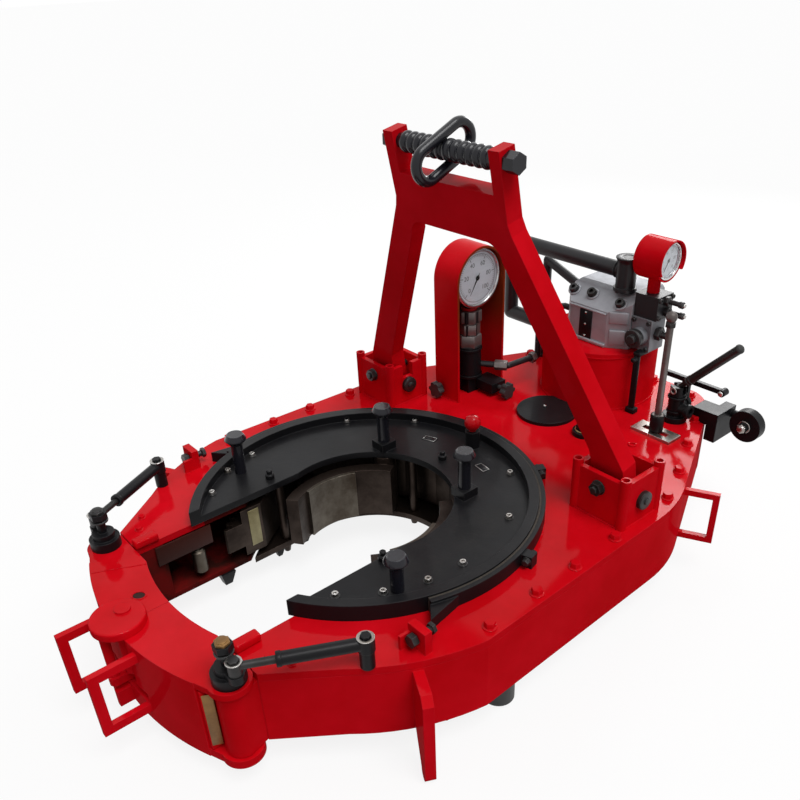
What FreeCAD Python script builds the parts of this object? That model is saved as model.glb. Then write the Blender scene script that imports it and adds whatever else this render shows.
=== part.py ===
"""Hydraulic casing tong: C-shaped ring gear and jaws in a gear case with swinging doors.

Millimetres. +Z is up, +Y points to the motor end, +X to the operator's side.
The origin is on the pipe axis, on the plane that the tong stands on.
"""
import FreeCAD
import Part
import math
import os

from FreeCAD import Placement, Rotation, Vector

SIZES = [
    ("# Case", None),
    ("foot_height", 67.0), ("case_depth", 160.0), ("wall", 12.0), ("floor_plate", 12.0),
    ("top_thick", 16.0), ("case_throat", 191.0), ("front_y", -436.0), ("horn_x", 268.0),
    ("case_radius", 480.0), ("horn_angle", -42.5), ("side_angle", -12.0), ("side_x", 458.0),
    ("side_end", 400.0), ("taper_x", 426.0), ("taper_y", 541.0), ("rear_x", 274.0),
    ("rear_y", 858.0), ("tail_x", 190.0), ("tail_y", 945.0), ("horn_return", 56.0),
    ("plate_bore", 266.0), ("floor_bore", 272.0),
    ("# Cage", None),
    ("dish_gap", 0.3), ("dish_floor", 15.7), ("rim_height", 34.7), ("rim_radius", 366.0),
    ("rim_wall", 21.0), ("cage_bore", 189.0), ("cage_throat", 182.0), ("under_radius", 262.0),
    ("under_thick", 14.0), ("under_z", 63.0), ("spacer_radius", 10.0), ("spacer_x", 199.0),
    ("spacer_y", -94.0), ("back_spacer_x", 78.0), ("back_spacer_y", 196.0),
    ("pin_x", 136.0), ("pin_y", 161.0), ("pin_radius", 14.0), ("pin_top", 352.0),
    ("post_inset", 34.2), ("post_angle", -27.0), ("post_radius", 13.0), ("post_top_left", 340.0),
    ("post_top_right", 322.0), ("cage_swing", 30.0),
    ("# Ring gear and train", None),
    ("module", 8.0), ("ring_teeth", 76.0), ("idler_teeth", 22.0), ("pair_teeth", 31.0),
    ("drive_teeth", 24.0), ("face_width", 60.0), ("teeth_z", 117.0), ("ring_throat", 184.0),
    ("cam_low", 262.0), ("cam_high", 240.0), ("ring_body", 275.0), ("ring_z", 92.0),
    ("ring_gap", 2.0), ("guide_clear", 1.0), ("guide_wall", 13.0), ("idler_angle", 41.0),
    ("drive_y", 600.0), ("shaft_radius", 20.0), ("hub_radius", 34.0), ("run_clear", 0.1),
    ("input_module", 5.0), ("input_teeth", 36.0), ("motor_teeth", 16.0), ("input_z", 84.0),
    ("input_face", 27.0), ("motor_angle", 75.6), ("drive_shaft", 25.0),
    ("# Jaws", None),
    ("jaw_in", 158.0), ("jaw_out", 186.0), ("jaw_z", 92.0), ("jaw_height", 120.0),
    ("jaw_from", -35.0), ("jaw_to", 58.0), ("boss_radius", 26.0), ("roller_radius", 22.0),
    ("roller_seat", 3.0), ("roller_z", 118.0), ("roller_height", 58.0), ("die_thick", 8.0),
    ("die_half", 24.0), ("jaw_swing", 8.0),
    ("# Doors", None),
    ("door_out", 566.0), ("door_in", 460.0), ("door_bottom", 47.0), ("hinge_x", 246.0),
    ("hinge_y", -474.0), ("knuckle_radius", 30.0), ("door_eye", 36.0), ("hinge_pin", 15.0),
    ("door_stop_x", 213.0), ("lug_gap", 2.0), ("door_lug", 16.0), ("nose_gap", 1.0),
    ("latch_x", -18.0), ("latch_y", -538.0), ("latch_disc_y", -553.0), ("latch_radius", 50.0), ("latch_swing", 75.0),
    ("latch_thick", 16.0), ("hook_x", 27.0), ("hook_y", -548.0), ("hook_radius", 9.0),
    ("latch_slot_z", 92.0), ("latch_slot", 24.0), ("handle_bar", 18.0), ("handle_reach", 88.0),
    ("handle_x", 68.0), ("handle_z", 73.0), ("handle_tall", 140.0),
    ("# Door struts", None),
    ("crank_radius", 30.0), ("eye_x", 275.0), ("strut_up", 50.0), ("strut_rear_x", 376.0),
    ("strut_rear_y", -288.0), ("strut_radius", 12.0), ("rod_radius", 7.0),
    ("# Lifting frame", None),
    ("frame_pivot_y", 375.0), ("frame_pivot_z", 276.0), ("frame_lean", 11.6),
    ("frame_thick", 40.0), ("ear_out", 158.0), ("ear_in", 131.0), ("ear_top", 671.0),
    ("shaft_up", 648.0), ("web_top", 592.0), ("web_bottom", 496.0), ("knee_up", 520.0),
    ("knee_out", 165.0), ("leg_top_in", 96.0), ("leg_out", 408.0), ("leg_in", 322.0),
    ("leg_low", 62.0), ("screw_radius", 21.0), ("screw_core", 14.0), ("rib_pitch", 20.0),
    ("bracket_in", 300.0), ("bracket_wide", 130.0), ("bracket_y", 315.0),
    ("bracket_deep", 120.0), ("bracket_tall", 104.0), ("bracket_wall", 12.0),
    ("bracket_tube", 11.0), ("frame_pin", 14.0), ("link_half", 72.0), ("link_wide", 29.3),
    ("link_bar", 10.5), ("link_tilt", 24.0), ("link_slide", 7.5),
    ("# Brake band", None),
    ("band_gap", 0.5), ("lining", 4.0), ("band_thick", 9.0), ("band_end", -20.0),
    ("# Motor", None),
    ("drum_x", -20.0), ("drum_y", 796.0), ("drum_radius", 146.0), ("drum_tall", 152.0),
    ("block_x", -90.0), ("block_wide", 187.0), ("block_y", 720.0), ("block_deep", 165.0),
    ("block_tall", 133.0), ("block_slope", 55.0), ("pipe_radius", 19.0),
    ("# Torque gauge", None),
    ("tower_x", -285.0), ("tower_deep", 85.0), ("tower_y", 540.0), ("tower_up", 537.0),
    ("tower_radius", 82.0), ("tower_wall", 6.0), ("bezel_radius", 75.0), ("dial_radius", 66.0),
]

doc = FreeCAD.newDocument("PowerTong")
sheet = doc.addObject("Spreadsheet::Sheet", "Sizes")


def fill_sheet():
    """One row per size: its name, its value and the same name as alias."""
    for row, (name, value) in enumerate(SIZES, start=1):
        sheet.set(f"A{row}", name.lstrip("# "))
        if value is not None:
            sheet.set(f"B{row}", str(value))
            sheet.setAlias(f"B{row}", name)
    doc.recompute()


def v(name):
    """The value of a named size."""
    return float(sheet.get(name))


fill_sheet()

Z_BOTTOM = v("foot_height")
Z_TOP = Z_BOTTOM + v("case_depth")
Z_PLATE = Z_TOP - v("top_thick")
RING_TOP = Z_PLATE - v("ring_gap")
Z_FLOOR = Z_BOTTOM + v("floor_plate")
Z_DISH = Z_TOP + v("dish_gap")
Z_TRAY = Z_DISH + v("dish_floor")
Z_UNDER = v("under_z") + v("under_thick")
Z_RIM = Z_DISH + v("rim_height")
UP = Vector(0, 0, 1)
RIGHT = Vector(1, 0, 0)
BACK = Vector(0, 1, 0)
SEAT = 0.3
SLEEVE = (2.0, v("rim_radius") - v("rim_wall") - 31)
SHIFT = (244.0, 689.0)
pieces = []


# Plain shapes
def cyl(x, y, z, radius, height, axis=UP):
    return Part.makeCylinder(radius, height, Vector(x, y, z), axis)


def cone(x, y, z, low, high, height, axis=UP):
    return Part.makeCone(low, high, height, Vector(x, y, z), axis)


def block(x, y, z, dx, dy, dz):
    return Part.makeBox(dx, dy, dz, Vector(x, y, z))


def hexagon(x, y, z, across, height, axis=UP):
    points = [Vector(across / math.sqrt(3) * math.cos(math.radians(60 * k)),
                     across / math.sqrt(3) * math.sin(math.radians(60 * k)), 0)
              for k in range(7)]
    solid = Part.Face(Part.makePolygon(points)).extrude(UP * height)
    solid.Placement = Placement(Vector(x, y, z), Rotation(UP, axis))
    return solid


def fuse(shapes):
    shapes = list(shapes)
    return shapes[0].fuse(shapes[1:]).removeSplitter() if len(shapes) > 1 else shapes[0]


def mirrored(shape):
    return shape.mirror(Vector(0, 0, 0), RIGHT)


def polar(radius, degrees, x=0.0, y=0.0):
    a = math.radians(degrees)
    return (x + radius * math.cos(a), y + radius * math.sin(a))


def geometry(path):
    """Sketch geometry of a closed path: points joined by lines; a pair of points is an arc."""
    parts = []
    last = path[0]
    for step in list(path[1:]) + [path[0]]:
        if isinstance(step[0], tuple):
            through, end = step
            parts.append(Part.Arc(Vector(*last, 0), Vector(*through, 0), Vector(*end, 0)))
            last = end
        else:
            if math.dist(last, step) > 1e-6:
                parts.append(Part.LineSegment(Vector(*last, 0), Vector(*step, 0)))
            last = step
    return parts


def wire(path):
    return Part.Wire([part.toShape() for part in geometry(path)])


def prism(path, z, height, holes=()):
    face = Part.Face([wire(path)] + [wire(hole) for hole in holes])
    solid = face.extrude(UP * height)
    solid.translate(UP * z)
    return solid


def circle(radius, x=0.0, y=0.0):
    west, east = (x - radius, y), (x + radius, y)
    return [west, ((x, y - radius), east), ((x, y + radius), west)]


def rectangle(x0, y0, x1, y1):
    return [(x0, y0), (x1, y0), (x1, y1), (x0, y1)]


def arc_band(inner, outer, start, end):
    """Closed path of a ring section between two angles in degrees."""
    middle = (start + end) / 2
    return [polar(inner, start), polar(outer, start), (polar(outer, middle), polar(outer, end)),
            polar(inner, end), (polar(inner, middle), polar(inner, start))]


def wire_geometry(shape):
    """Sketch geometry of the edges of an offset wire."""
    parts = []
    for edge in shape.Edges:
        first, last = edge.ParameterRange
        start, end = edge.valueAt(first), edge.valueAt(last)
        if isinstance(edge.Curve, Part.Circle):
            parts.append(Part.Arc(start, edge.valueAt((first + last) / 2), end))
        else:
            parts.append(Part.LineSegment(start, end))
    return parts


# Objects of the document
def place(label, shape, at=(0, 0, 0)):
    """A piece shaped in code; its local origin is put at the given point."""
    shape = shape.copy()
    shape.translate(-Vector(*at))
    item = doc.addObject("Part::Feature", label)
    item.Label = label
    item.Shape = Part.Compound(shape.Solids)
    item.Placement = Placement(Vector(*at), Rotation())
    pieces.append(item)
    return item


def bind(item, prop, text):
    item.setExpression(prop, text)


def new_body(label):
    item = doc.addObject("PartDesign::Body", label)
    item.Label = label
    pieces.append(item)
    return item


def add_sketch(body, parts, plane="XY_Plane", offset=None):
    """A sketch on an origin plane of its body, raised by an expression of the sheet."""
    base = next(f for f in body.Origin.OriginFeatures if f.Role == plane)
    sketch = body.newObject("Sketcher::SketchObject", body.Label + "_sketch")
    sketch.AttachmentSupport = [(base, "")]
    sketch.MapMode = "FlatFace"
    sketch.addGeometry(parts, False)
    if offset:
        bind(sketch, "AttachmentOffset.Base.z", offset)
    doc.recompute()
    return sketch


def pad(body, parts, length, plane="XY_Plane", offset=None):
    feature = body.newObject("PartDesign::Pad", body.Label + "_pad")
    feature.Profile = add_sketch(body, parts, plane, offset)
    bind(feature, "Length", length)
    doc.recompute()
    return feature


def pocket(body, parts, length, plane="XY_Plane", offset=None):
    """A cut of the given length upward from its sketch."""
    feature = body.newObject("PartDesign::Pocket", body.Label + "_pocket")
    feature.Profile = add_sketch(body, parts, plane, offset)
    feature.Reversed = True
    bind(feature, "Length", length)
    doc.recompute()
    return feature


def weld(body, shapes):
    """Joins welded-on shapes to a body; the joined solid takes over its label."""
    label = body.Label
    body.Label = label + "_body"
    extra = doc.addObject("Part::Feature", label + "_welds")
    extra.Shape = Part.Compound(shapes)
    joined = doc.addObject("Part::MultiFuse", label + "_joined")
    joined.Shapes = [body, extra]
    joined.Label = label
    pieces[pieces.index(body)] = joined
    doc.recompute()


TOP_TEXT = "Sizes.foot_height + Sizes.case_depth"


# Case
def side_path():
    """Right half of the case outline, from the front corner to the tail."""
    r = v("case_radius")
    middle = (v("horn_angle") + v("side_angle")) / 2
    bend = ((v("side_x") + v("taper_x")) / 2 + 8, (v("side_end") + v("taper_y")) / 2)
    tail_bend = ((v("rear_x") + v("tail_x")) / 2 + 6, (v("rear_y") + v("tail_y")) / 2 + 12)
    return [(v("horn_x"), v("front_y")), polar(r, v("horn_angle")),
            (polar(r, middle), polar(r, v("side_angle"))), (v("side_x"), v("side_end")),
            (bend, (v("taper_x"), v("taper_y"))), (v("rear_x"), v("rear_y")),
            (tail_bend, (v("tail_x"), v("tail_y")))]


def both_sides(right):
    """A closed symmetric path from its right half."""
    flip = lambda p: (-p[0], p[1])
    ends = [step[1] if isinstance(step[0], tuple) else step for step in right]
    left = [flip(ends[-1])]
    for k in range(len(right) - 1, 0, -1):
        if isinstance(right[k][0], tuple):
            left.append((flip(right[k][0]), flip(ends[k - 1])))
        else:
            left.append(flip(ends[k - 1]))
    return right + left


OUTLINE = both_sides(side_path())


def throat_cut(half, bore, front):
    """Bore and throat slot in one path, open at the front."""
    y = -math.sqrt(bore ** 2 - half ** 2)
    return [(half, y), ((0, bore), (-half, y)), (-half, front), (half, front)]


def make_case():
    body = new_body("case_shell")
    pad(body, geometry(OUTLINE), "Sizes.floor_plate", offset="Sizes.foot_height")
    inner = wire(OUTLINE).makeOffset2D(-v("wall"), 1)
    pad(body, geometry(OUTLINE) + wire_geometry(inner),
        "Sizes.case_depth - Sizes.floor_plate - Sizes.top_thick",
        offset="Sizes.foot_height + Sizes.floor_plate")
    half, front = v("case_throat"), v("front_y") - v("wall")
    pocket(body, geometry(throat_cut(half, v("floor_bore"), front)), "Sizes.floor_plate",
           offset="Sizes.foot_height")
    pocket(body, geometry(rectangle(-half, front, half, v("front_y") + 2 * v("wall"))),
           "Sizes.case_depth", offset="Sizes.foot_height")
    height = "Sizes.case_depth - Sizes.floor_plate - Sizes.top_thick"
    for side in (1, -1):
        x0, x1 = sorted((side * half, side * (half + v("wall"))))
        pad(body, geometry(rectangle(x0, v("front_y"), x1, v("front_y") + v("horn_return"))),
            height, offset="Sizes.foot_height + Sizes.floor_plate")
        hx, hy, r = side * v("hinge_x"), v("hinge_y"), v("knuckle_radius")
        back = v("front_y") + v("wall") / 2
        pad(body, geometry([(hx - r, hy), ((hx, hy - r), (hx + r, hy)), (hx + r * 0.6, back),
                            (hx - r, back)]), "Sizes.case_depth - Sizes.top_thick",
            offset="Sizes.foot_height")
        pocket(body, [Part.Circle(Vector(hx, hy, 0), UP, v("hinge_pin") + v("run_clear"))],
               "Sizes.case_depth", offset="Sizes.foot_height")
    weld(body, side_fins() + [side_handle()])


def side_fins():
    """Steel fins on the front corners that carry the tong on the floor."""
    fin = prism([(0, 0), (66, 0), (80, -16), (80, -190), ((66, -206), (52, -190)), (0, -100)],
                -10, 20)
    fin.rotate(Vector(0, 0, 0), RIGHT, 90)
    fin.rotate(Vector(0, 0, 0), UP, -27.5)
    fin.translate(Vector(*polar(v("case_radius") - 10, -27.5), 206))
    return [fin, mirrored(fin)]


def side_handle():
    outward = math.degrees(math.atan2(v("taper_x") - v("rear_x"), v("rear_y") - v("taper_y")))
    return handle_loop(412, 563, outward, Z_TOP - 146, 128, 64, 14)


def make_top_plate(holes):
    body = new_body("top_plate")
    pad(body, geometry(OUTLINE), "Sizes.top_thick", offset=TOP_TEXT + " - Sizes.top_thick")
    cuts = geometry(throat_cut(v("case_throat"), v("plate_bore"), v("front_y") - v("wall")))
    pocket(body, cuts, "Sizes.top_thick", offset=TOP_TEXT + " - Sizes.top_thick")
    rounds = [Part.Circle(Vector(x, y, 0), UP, radius) for x, y, radius in holes]
    pocket(body, rounds, "Sizes.top_thick", offset=TOP_TEXT + " - Sizes.top_thick")
    weld(body, band_brackets())


# Gears
def gear_path(teeth, module, phase, x=0.0, y=0.0, skip=None):
    """Closed path of straight-sided teeth; teeth whose centre is in skip are left out."""
    pitch = module * teeth / 2
    step = 360.0 / teeth
    tip, root = pitch + 0.85 * module, pitch - 1.1 * module
    points = []
    for k in range(int(teeth)):
        centre = phase + k * step
        if skip and skip(centre):
            continue
        for radius, half in ((root, 0.33), (tip, 0.14), (tip, -0.14), (root, -0.33)):
            points.append(polar(radius, centre - half * step, x, y))
    return points


def mesh_phase(phase, teeth, direction, next_teeth):
    """Phase of the next gear so that its gap meets a tooth of this one."""
    part = (direction - phase) * teeth / 360.0
    return direction + 180.0 - (0.5 - part) * 360.0 / next_teeth


def direction_of(a, b):
    return math.degrees(math.atan2(b[1] - a[1], b[0] - a[0]))


def train(angle):
    """Places and phases of the right half of the gear train for one idler angle."""
    m = v("module") / 2
    ring, idler, pair, drive = (v(n) for n in
                                ("ring_teeth", "idler_teeth", "pair_teeth", "drive_teeth"))
    first = polar(m * (ring + idler), 90 - angle)
    last = (0.0, v("drive_y"))
    near, far, span = m * (idler + pair), m * (pair + drive), math.dist(first, last)
    run = (near ** 2 - far ** 2 + span ** 2) / (2 * span)
    rise = math.sqrt(max(near ** 2 - run ** 2, 0.0))
    ux, uy = (last[0] - first[0]) / span, (last[1] - first[1]) / span
    second = (first[0] + run * ux + rise * uy, first[1] + run * uy - rise * ux)
    p1 = mesh_phase(90.0, ring, direction_of((0, 0), first), idler)
    p2 = mesh_phase(p1, idler, direction_of(first, second), pair)
    p3 = mesh_phase(p2, pair, direction_of(second, last), drive)
    miss = (2 * (90.0 - p3) * drive / 360.0 + 0.5) % 1.0 - 0.5
    return first, second, p1, p2, p3, miss


def solve_train():
    """Idler angle at which both mirrored branches mesh with the drive pinion."""
    low, step = v("idler_angle"), 0.02
    old = train(low)[-1]
    for k in range(1, 400):
        now = train(low + k * step)[-1]
        if old * now <= 0 and abs(old - now) < 0.4:
            a, b = low + (k - 1) * step, low + k * step
            for _ in range(40):
                c = (a + b) / 2
                if train(a)[-1] * train(c)[-1] <= 0:
                    b = c
                else:
                    a = c
            return train((a + b) / 2)
        old = now
    return train(low)


def cam_path():
    """Inner outline of the ring: two pockets that rise evenly to the round part."""
    low, high, swing = v("cam_low"), v("cam_high"), v("cage_swing")
    points = []
    for degrees in range(-50, 231, 10):
        away = min(abs(degrees), abs(degrees - 180))
        points.append(polar(low - (low - high) * min(away / swing, 1.0), degrees))
    return points


def make_ring():
    teeth, m = v("ring_teeth"), v("module")
    half = v("ring_throat")
    body = fuse([prism(circle(v("ring_body")), v("ring_z"), RING_TOP - v("ring_z")),
                 prism(gear_path(teeth, m, 90.0), v("teeth_z"), v("face_width"))])
    cam = cam_path()
    deep = RING_TOP
    hollow = prism(cam, 0, 2 * deep)
    slot = block(-half, -2 * v("ring_body"), 0, 2 * half, 2 * v("ring_body"), 2 * deep)
    place("ring_gear", body.cut([hollow, slot]))


def gear_solid(teeth, module, phase, at, z, face):
    return prism(gear_path(teeth, module, phase, *at), z, face)


def make_train(first, second, p1, p2, p3):
    m, z, face = v("module"), v("teeth_z"), v("face_width")
    shaft, hub, clear = v("shaft_radius"), v("hub_radius"), v("run_clear")
    posts = []
    for name, side in (("right", 1), ("left", -1)):
        for part, centre, teeth, phase in (("rotary_idler", first, v("idler_teeth"), p1),
                                           ("pair_idler", second, v("pair_teeth"), p2)):
            solid = fuse([gear_solid(teeth, m, phase, centre, z, face),
                          cyl(*centre, Z_FLOOR + SEAT, hub, Z_PLATE - Z_FLOOR - 2 * SEAT)])
            solid = solid.cut(cyl(*centre, 0, shaft + clear, Z_TOP))
            post = cyl(*centre, Z_FLOOR, shaft, Z_PLATE - Z_FLOOR)
            at = (side * centre[0], centre[1], z)
            place(f"{part}_{name}", solid if side > 0 else mirrored(solid), at)
            posts.append(post if side > 0 else mirrored(post))
    place("idler_shafts", Part.Compound(posts), (0, 0, Z_FLOOR))

    # Drive shaft with its pinion and the input gear
    at = (0.0, v("drive_y"))
    im, iz, iface = v("input_module"), v("input_z"), v("input_face")
    reach = im * (v("input_teeth") + v("motor_teeth")) / 2
    motor = polar(reach, v("motor_angle"), *at)
    drive = fuse([gear_solid(v("drive_teeth"), m, p3, at, z, face),
                  gear_solid(v("input_teeth"), im, 0.0, at, iz, iface),
                  cyl(*at, iz, hub, z - iz),
                  cyl(*at, Z_FLOOR + SEAT, v("drive_shaft"), Z_PLATE + 4 - Z_FLOOR)])
    place("drive_shaft", drive, (*at, z))
    phase = mesh_phase(0.0, v("input_teeth"), v("motor_angle"), v("motor_teeth"))
    pinion = fuse([gear_solid(v("motor_teeth"), im, phase, motor, iz, iface),
                   cyl(*motor, iz, 15, Z_TOP - iz - SEAT)])
    place("motor_pinion", pinion, (*motor, iz))
    return motor


def make_guides():
    """Two bronze guide rings that carry and centre the ring gear."""
    inner = v("ring_body") + v("guide_clear")
    outer = inner + v("guide_wall")
    low = prism(arc_band(inner, outer, -36, 216), Z_FLOOR, v("teeth_z") - SEAT - Z_FLOOR)
    base = v("teeth_z") + v("face_width") + 2
    high = prism(arc_band(inner, outer, -36, 216), base, Z_PLATE - base)
    at = (0.0, v("drive_y"))
    bush = cyl(*at, Z_PLATE - 6, 50, v("top_thick") + 6).cut(
        cyl(*at, 0, v("drive_shaft") + v("run_clear"), 500))
    place("bronze_bearings", Part.Compound([low, high, bush]), (0, 0, Z_FLOOR))


# Cage: upper dish, lower plate, spacers, posts
def make_cage():
    body = new_body("cage_dish")
    level = TOP_TEXT + " + Sizes.dish_gap"
    pad(body, geometry(circle(v("rim_radius"))), "Sizes.rim_height", offset=level)
    pocket(body, geometry(circle(v("rim_radius") - v("rim_wall"))),
           "Sizes.rim_height", offset=level + " + Sizes.dish_floor")
    cut = throat_cut(v("cage_throat"), v("cage_bore"), -v("rim_radius") - 5)
    pocket(body, geometry(cut), "Sizes.rim_height", offset=level)
    px, py, clear = v("pin_x"), v("pin_y"), v("run_clear")
    holes = [Part.Circle(Vector(s * px, py, 0), UP, v("pin_radius") + clear) for s in (1, -1)]
    pocket(body, holes, "Sizes.dish_floor", offset=level)
    sx, sy = SLEEVE
    keeps = [block(s * px - 20, py - 20, Z_TRAY - 1, 40, 40, 21).cut(
        cyl(s * px, py, Z_TRAY - 2, v("pin_radius") + clear, 40)) for s in (1, -1)]
    sleeve = cyl(sx, sy, Z_TRAY - 1, 17, 43).cut(cyl(sx, sy, Z_TRAY + 1, 8 + clear, 60))
    weld(body, keeps + [sleeve])

    under = new_body("cage_under_plate")
    pad(under, geometry(circle(v("under_radius"))), "Sizes.under_thick", offset="Sizes.under_z")
    cut = throat_cut(v("cage_throat"), v("cage_bore"), -v("rim_radius") - 5)
    pocket(under, geometry(cut), "Sizes.under_thick", offset="Sizes.under_z")
    holes = [Part.Circle(Vector(s * px, py, 0), UP, v("pin_radius") + clear) for s in (1, -1)]
    pocket(under, holes, "Sizes.under_thick", offset="Sizes.under_z")

    places = [(s * v("spacer_x"), v("spacer_y")) for s in (1, -1)]
    places += [(s * v("back_spacer_x"), v("back_spacer_y")) for s in (1, -1)]
    drop = 22
    spacers = [cyl(x, y, Z_UNDER, v("spacer_radius"), Z_DISH - Z_UNDER) for x, y in places]
    spacers += [cone(x, y, v("under_z") - drop, 7, 12, drop) for x, y in places]
    place("cage_spacers", Part.Compound(spacers), (0, 0, Z_UNDER))
    # Jaw pins and cage posts, all with mushroom heads
    pins = []
    post = polar(v("rim_radius") - v("rim_wall") - v("post_inset"), v("post_angle"))
    for side, top in ((1, v("post_top_right")), (-1, v("post_top_left"))):
        pins.append(mushroom(side * px, py, v("under_z"), v("pin_top"), v("pin_radius")))
        pins.append(mushroom(side * post[0], post[1], Z_TRAY, top, v("post_radius")))
    place("cage_pins", Part.Compound(pins), (0, py, Z_TRAY))
    knob = fuse([cyl(sx, sy, Z_TRAY + 2, 8, 60),
                 Part.makeSphere(19, Vector(sx, sy, Z_TRAY + 42 + 20))])
    place("reverse_knob", knob, (sx, sy, Z_TRAY + 42))


def mushroom(x, y, z, top, radius):
    """An upright pin with a dished head."""
    return fuse([cyl(x, y, z, radius, top - 14 - z), cone(x, y, top - 24, radius, 23, 12),
                 cone(x, y, top - 12, 23, 17, 12)])


# Jaws
def jaw_solid():
    inner, outer = v("jaw_in"), v("jaw_out")
    z, height, clear = v("jaw_z"), v("jaw_height"), v("run_clear")
    px, py = v("pin_x"), v("pin_y")
    arm = prism(arc_band(inner, outer, v("jaw_from"), v("jaw_to")), z, height)
    boss = cyl(px, py, Z_UNDER + SEAT, v("boss_radius"), Z_DISH - Z_UNDER - 2 * SEAT)
    seat = v("cam_low") - v("roller_radius") - v("roller_seat")
    ears = []
    for low in (v("roller_z") - 14 - SEAT, v("roller_z") + v("roller_height") + SEAT):
        ears.append(prism([polar(inner + 10, -9), (seat - 4, -15), ((seat + 15, 0), (seat - 4, 15)),
                           polar(inner + 10, 9)], low, 14))
    body = fuse([arm, boss] + ears)
    room = v("die_half")
    pocket_cut = prism(arc_band(inner - 5, inner + 1, 4 - room, 4 + room), z - 1, height + 2)
    body = body.cut([cyl(px, py, 0, v("pin_radius") + clear, 2 * Z_TOP), pocket_cut])
    return body.fuse(cyl(seat, 0, v("roller_z") - 10, 8, v("roller_height") + 20))


def make_jaws():
    inner, room = v("jaw_in"), v("die_half")
    z, height = v("jaw_z"), v("jaw_height")
    seat = v("cam_low") - v("roller_radius") - v("roller_seat")
    low, tall = v("roller_z"), v("roller_height")
    die = prism(arc_band(inner + 1 - v("die_thick"), inner + 1, 4 - room, 4 + room), z, height)
    roller = cyl(seat, 0, low, v("roller_radius"), tall).cut(cyl(seat, 0, 0, 8 + 0.1, Z_TOP))
    for name, side in (("right", 1), ("left", -1)):
        for label, shape, at in (("jaw", jaw_solid(), (v("pin_x"), v("pin_y"), z)),
                                 ("jaw_die", die, (inner, 0, z)),
                                 ("jaw_roller", roller, (seat, 0, low))):
            place(f"{label}_{name}", shape if side > 0 else mirrored(shape),
                  (side * at[0], at[1], at[2]))


# Doors
def door_block(side):
    """Plan of the heavy part of a door, between the nose and the hinge cheeks."""
    out, inn, gap = v("door_out"), v("door_in"), v("nose_gap") / 2
    stop, edge = v("door_stop_x"), v("front_y") - v("lug_gap")
    turn = math.sqrt(inn ** 2 - edge ** 2)
    points = [(gap, -math.sqrt(inn ** 2 - gap ** 2)), (gap, -math.sqrt(out ** 2 - gap ** 2)),
              ((stop / 2, -math.sqrt(out ** 2 - stop ** 2 / 4)),
               (stop, -math.sqrt(out ** 2 - stop ** 2))), (stop, edge), (turn, edge),
              ((turn / 2, -math.sqrt(inn ** 2 - turn ** 2 / 4)),
               (gap, -math.sqrt(inn ** 2 - gap ** 2)))]
    return flip_path(points, side)


def flip_path(points, side):
    flip = lambda p: (side * p[0], p[1])
    return [tuple(flip(q) for q in p) if isinstance(p[0], tuple) else flip(p) for p in points]


def door_cheek(side):
    """Plan of the top and bottom cheeks that reach round the hinge pin."""
    out, eye = v("door_out"), v("door_eye")
    hx, hy = v("hinge_x"), v("hinge_y")
    start, edge = v("door_stop_x") - 40, v("front_y") - v("lug_gap")
    join = hx - 6
    points = [(start, edge), (start, -math.sqrt(out ** 2 - start ** 2)),
              (join, -math.sqrt(out ** 2 - join ** 2)),
              ((hx + eye, hy), (hx + 11, edge))]
    return flip_path(points, side)


def make_door(name, side):
    body = new_body(f"door_{name}")
    top = TOP_TEXT
    pad(body, geometry(door_block(side)), top + " - Sizes.door_bottom",
        offset="Sizes.door_bottom")
    pad(body, geometry(door_cheek(side)), "Sizes.door_lug - 2",
        offset=top + " - Sizes.door_lug + 2")
    pad(body, geometry(door_cheek(side)), "Sizes.foot_height - Sizes.lug_gap - Sizes.door_bottom",
        offset="Sizes.door_bottom")
    hx, hy = side * v("hinge_x"), v("hinge_y")
    pocket(body, [Part.Circle(Vector(hx, hy, 0), UP, v("hinge_pin") + v("run_clear"))],
           top, offset="0 mm")
    reach = -v("door_out") - 20
    if side > 0:
        wide = v("hook_radius") + 3
        x, y = v("hook_x"), v("hook_y")
        lx, ly = v("latch_x"), v("latch_y")
        arm = math.hypot(x - lx, y - ly) - wide
        start = math.degrees(math.atan2(y - ly, x - lx))
        swing = [polar(arm, start - a, lx, ly) for a in (0, 26, 52)]
        pocket(body, geometry([(x + wide, reach), (x + wide, y), ((x, y + wide), swing[0]),
                               (swing[1], swing[2]), (swing[2][0], reach)]),
               top, offset="Sizes.latch_slot_z")
    else:
        pocket(body, [Part.Circle(Vector(v("latch_x"), v("latch_y"), 0), UP,
                                  12 + v("run_clear"))], top, offset="Sizes.door_bottom + 13")
    x0, x1 = sorted((side * -1.0, side * 74.0))
    pocket(body, geometry(rectangle(x0, reach, x1, v("latch_y") + 24)),
           "Sizes.latch_slot", offset="Sizes.latch_slot_z")
    bar = v("handle_bar")
    x, y = side * v("handle_x"), -math.sqrt(v("door_out") ** 2 - v("handle_x") ** 2)
    extra = [handle_loop(x, y + 4, -90, v("handle_z"), v("handle_tall"),
                         v("handle_reach") - bar + 4, bar)]
    if side < 0:
        base = v("door_bottom")
        knob = cyl(-8, v("latch_disc_y"), base, 41, 36).common(
            block(-90, -v("door_out") - 60, base, 89, 65, 36))
        extra.append(knob)
    weld(body, extra)


def rod_path(points, radius):
    """A round bar swept along straight runs with ball corners."""
    parts = []
    for a, b in zip(points, points[1:]):
        a, b = Vector(*a), Vector(*b)
        parts.append(Part.makeCylinder(radius, (b - a).Length, a, b - a))
    parts += [Part.makeSphere(radius, Vector(*p)) for p in points[1:-1]]
    return fuse(parts)


def handle_loop(x, y, outward, z, tall, reach, bar, wide=12.0):
    """Flat-bar grip loop standing off a face along the outward direction."""
    length = reach + bar
    loop = block(0, -wide / 2, 0, length, wide, tall).cut(
        block(0, -wide, bar, reach, 2 * wide, tall - 2 * bar))
    loop.rotate(Vector(0, 0, 0), UP, outward)
    loop.translate(Vector(x, y, z))
    return loop


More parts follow.
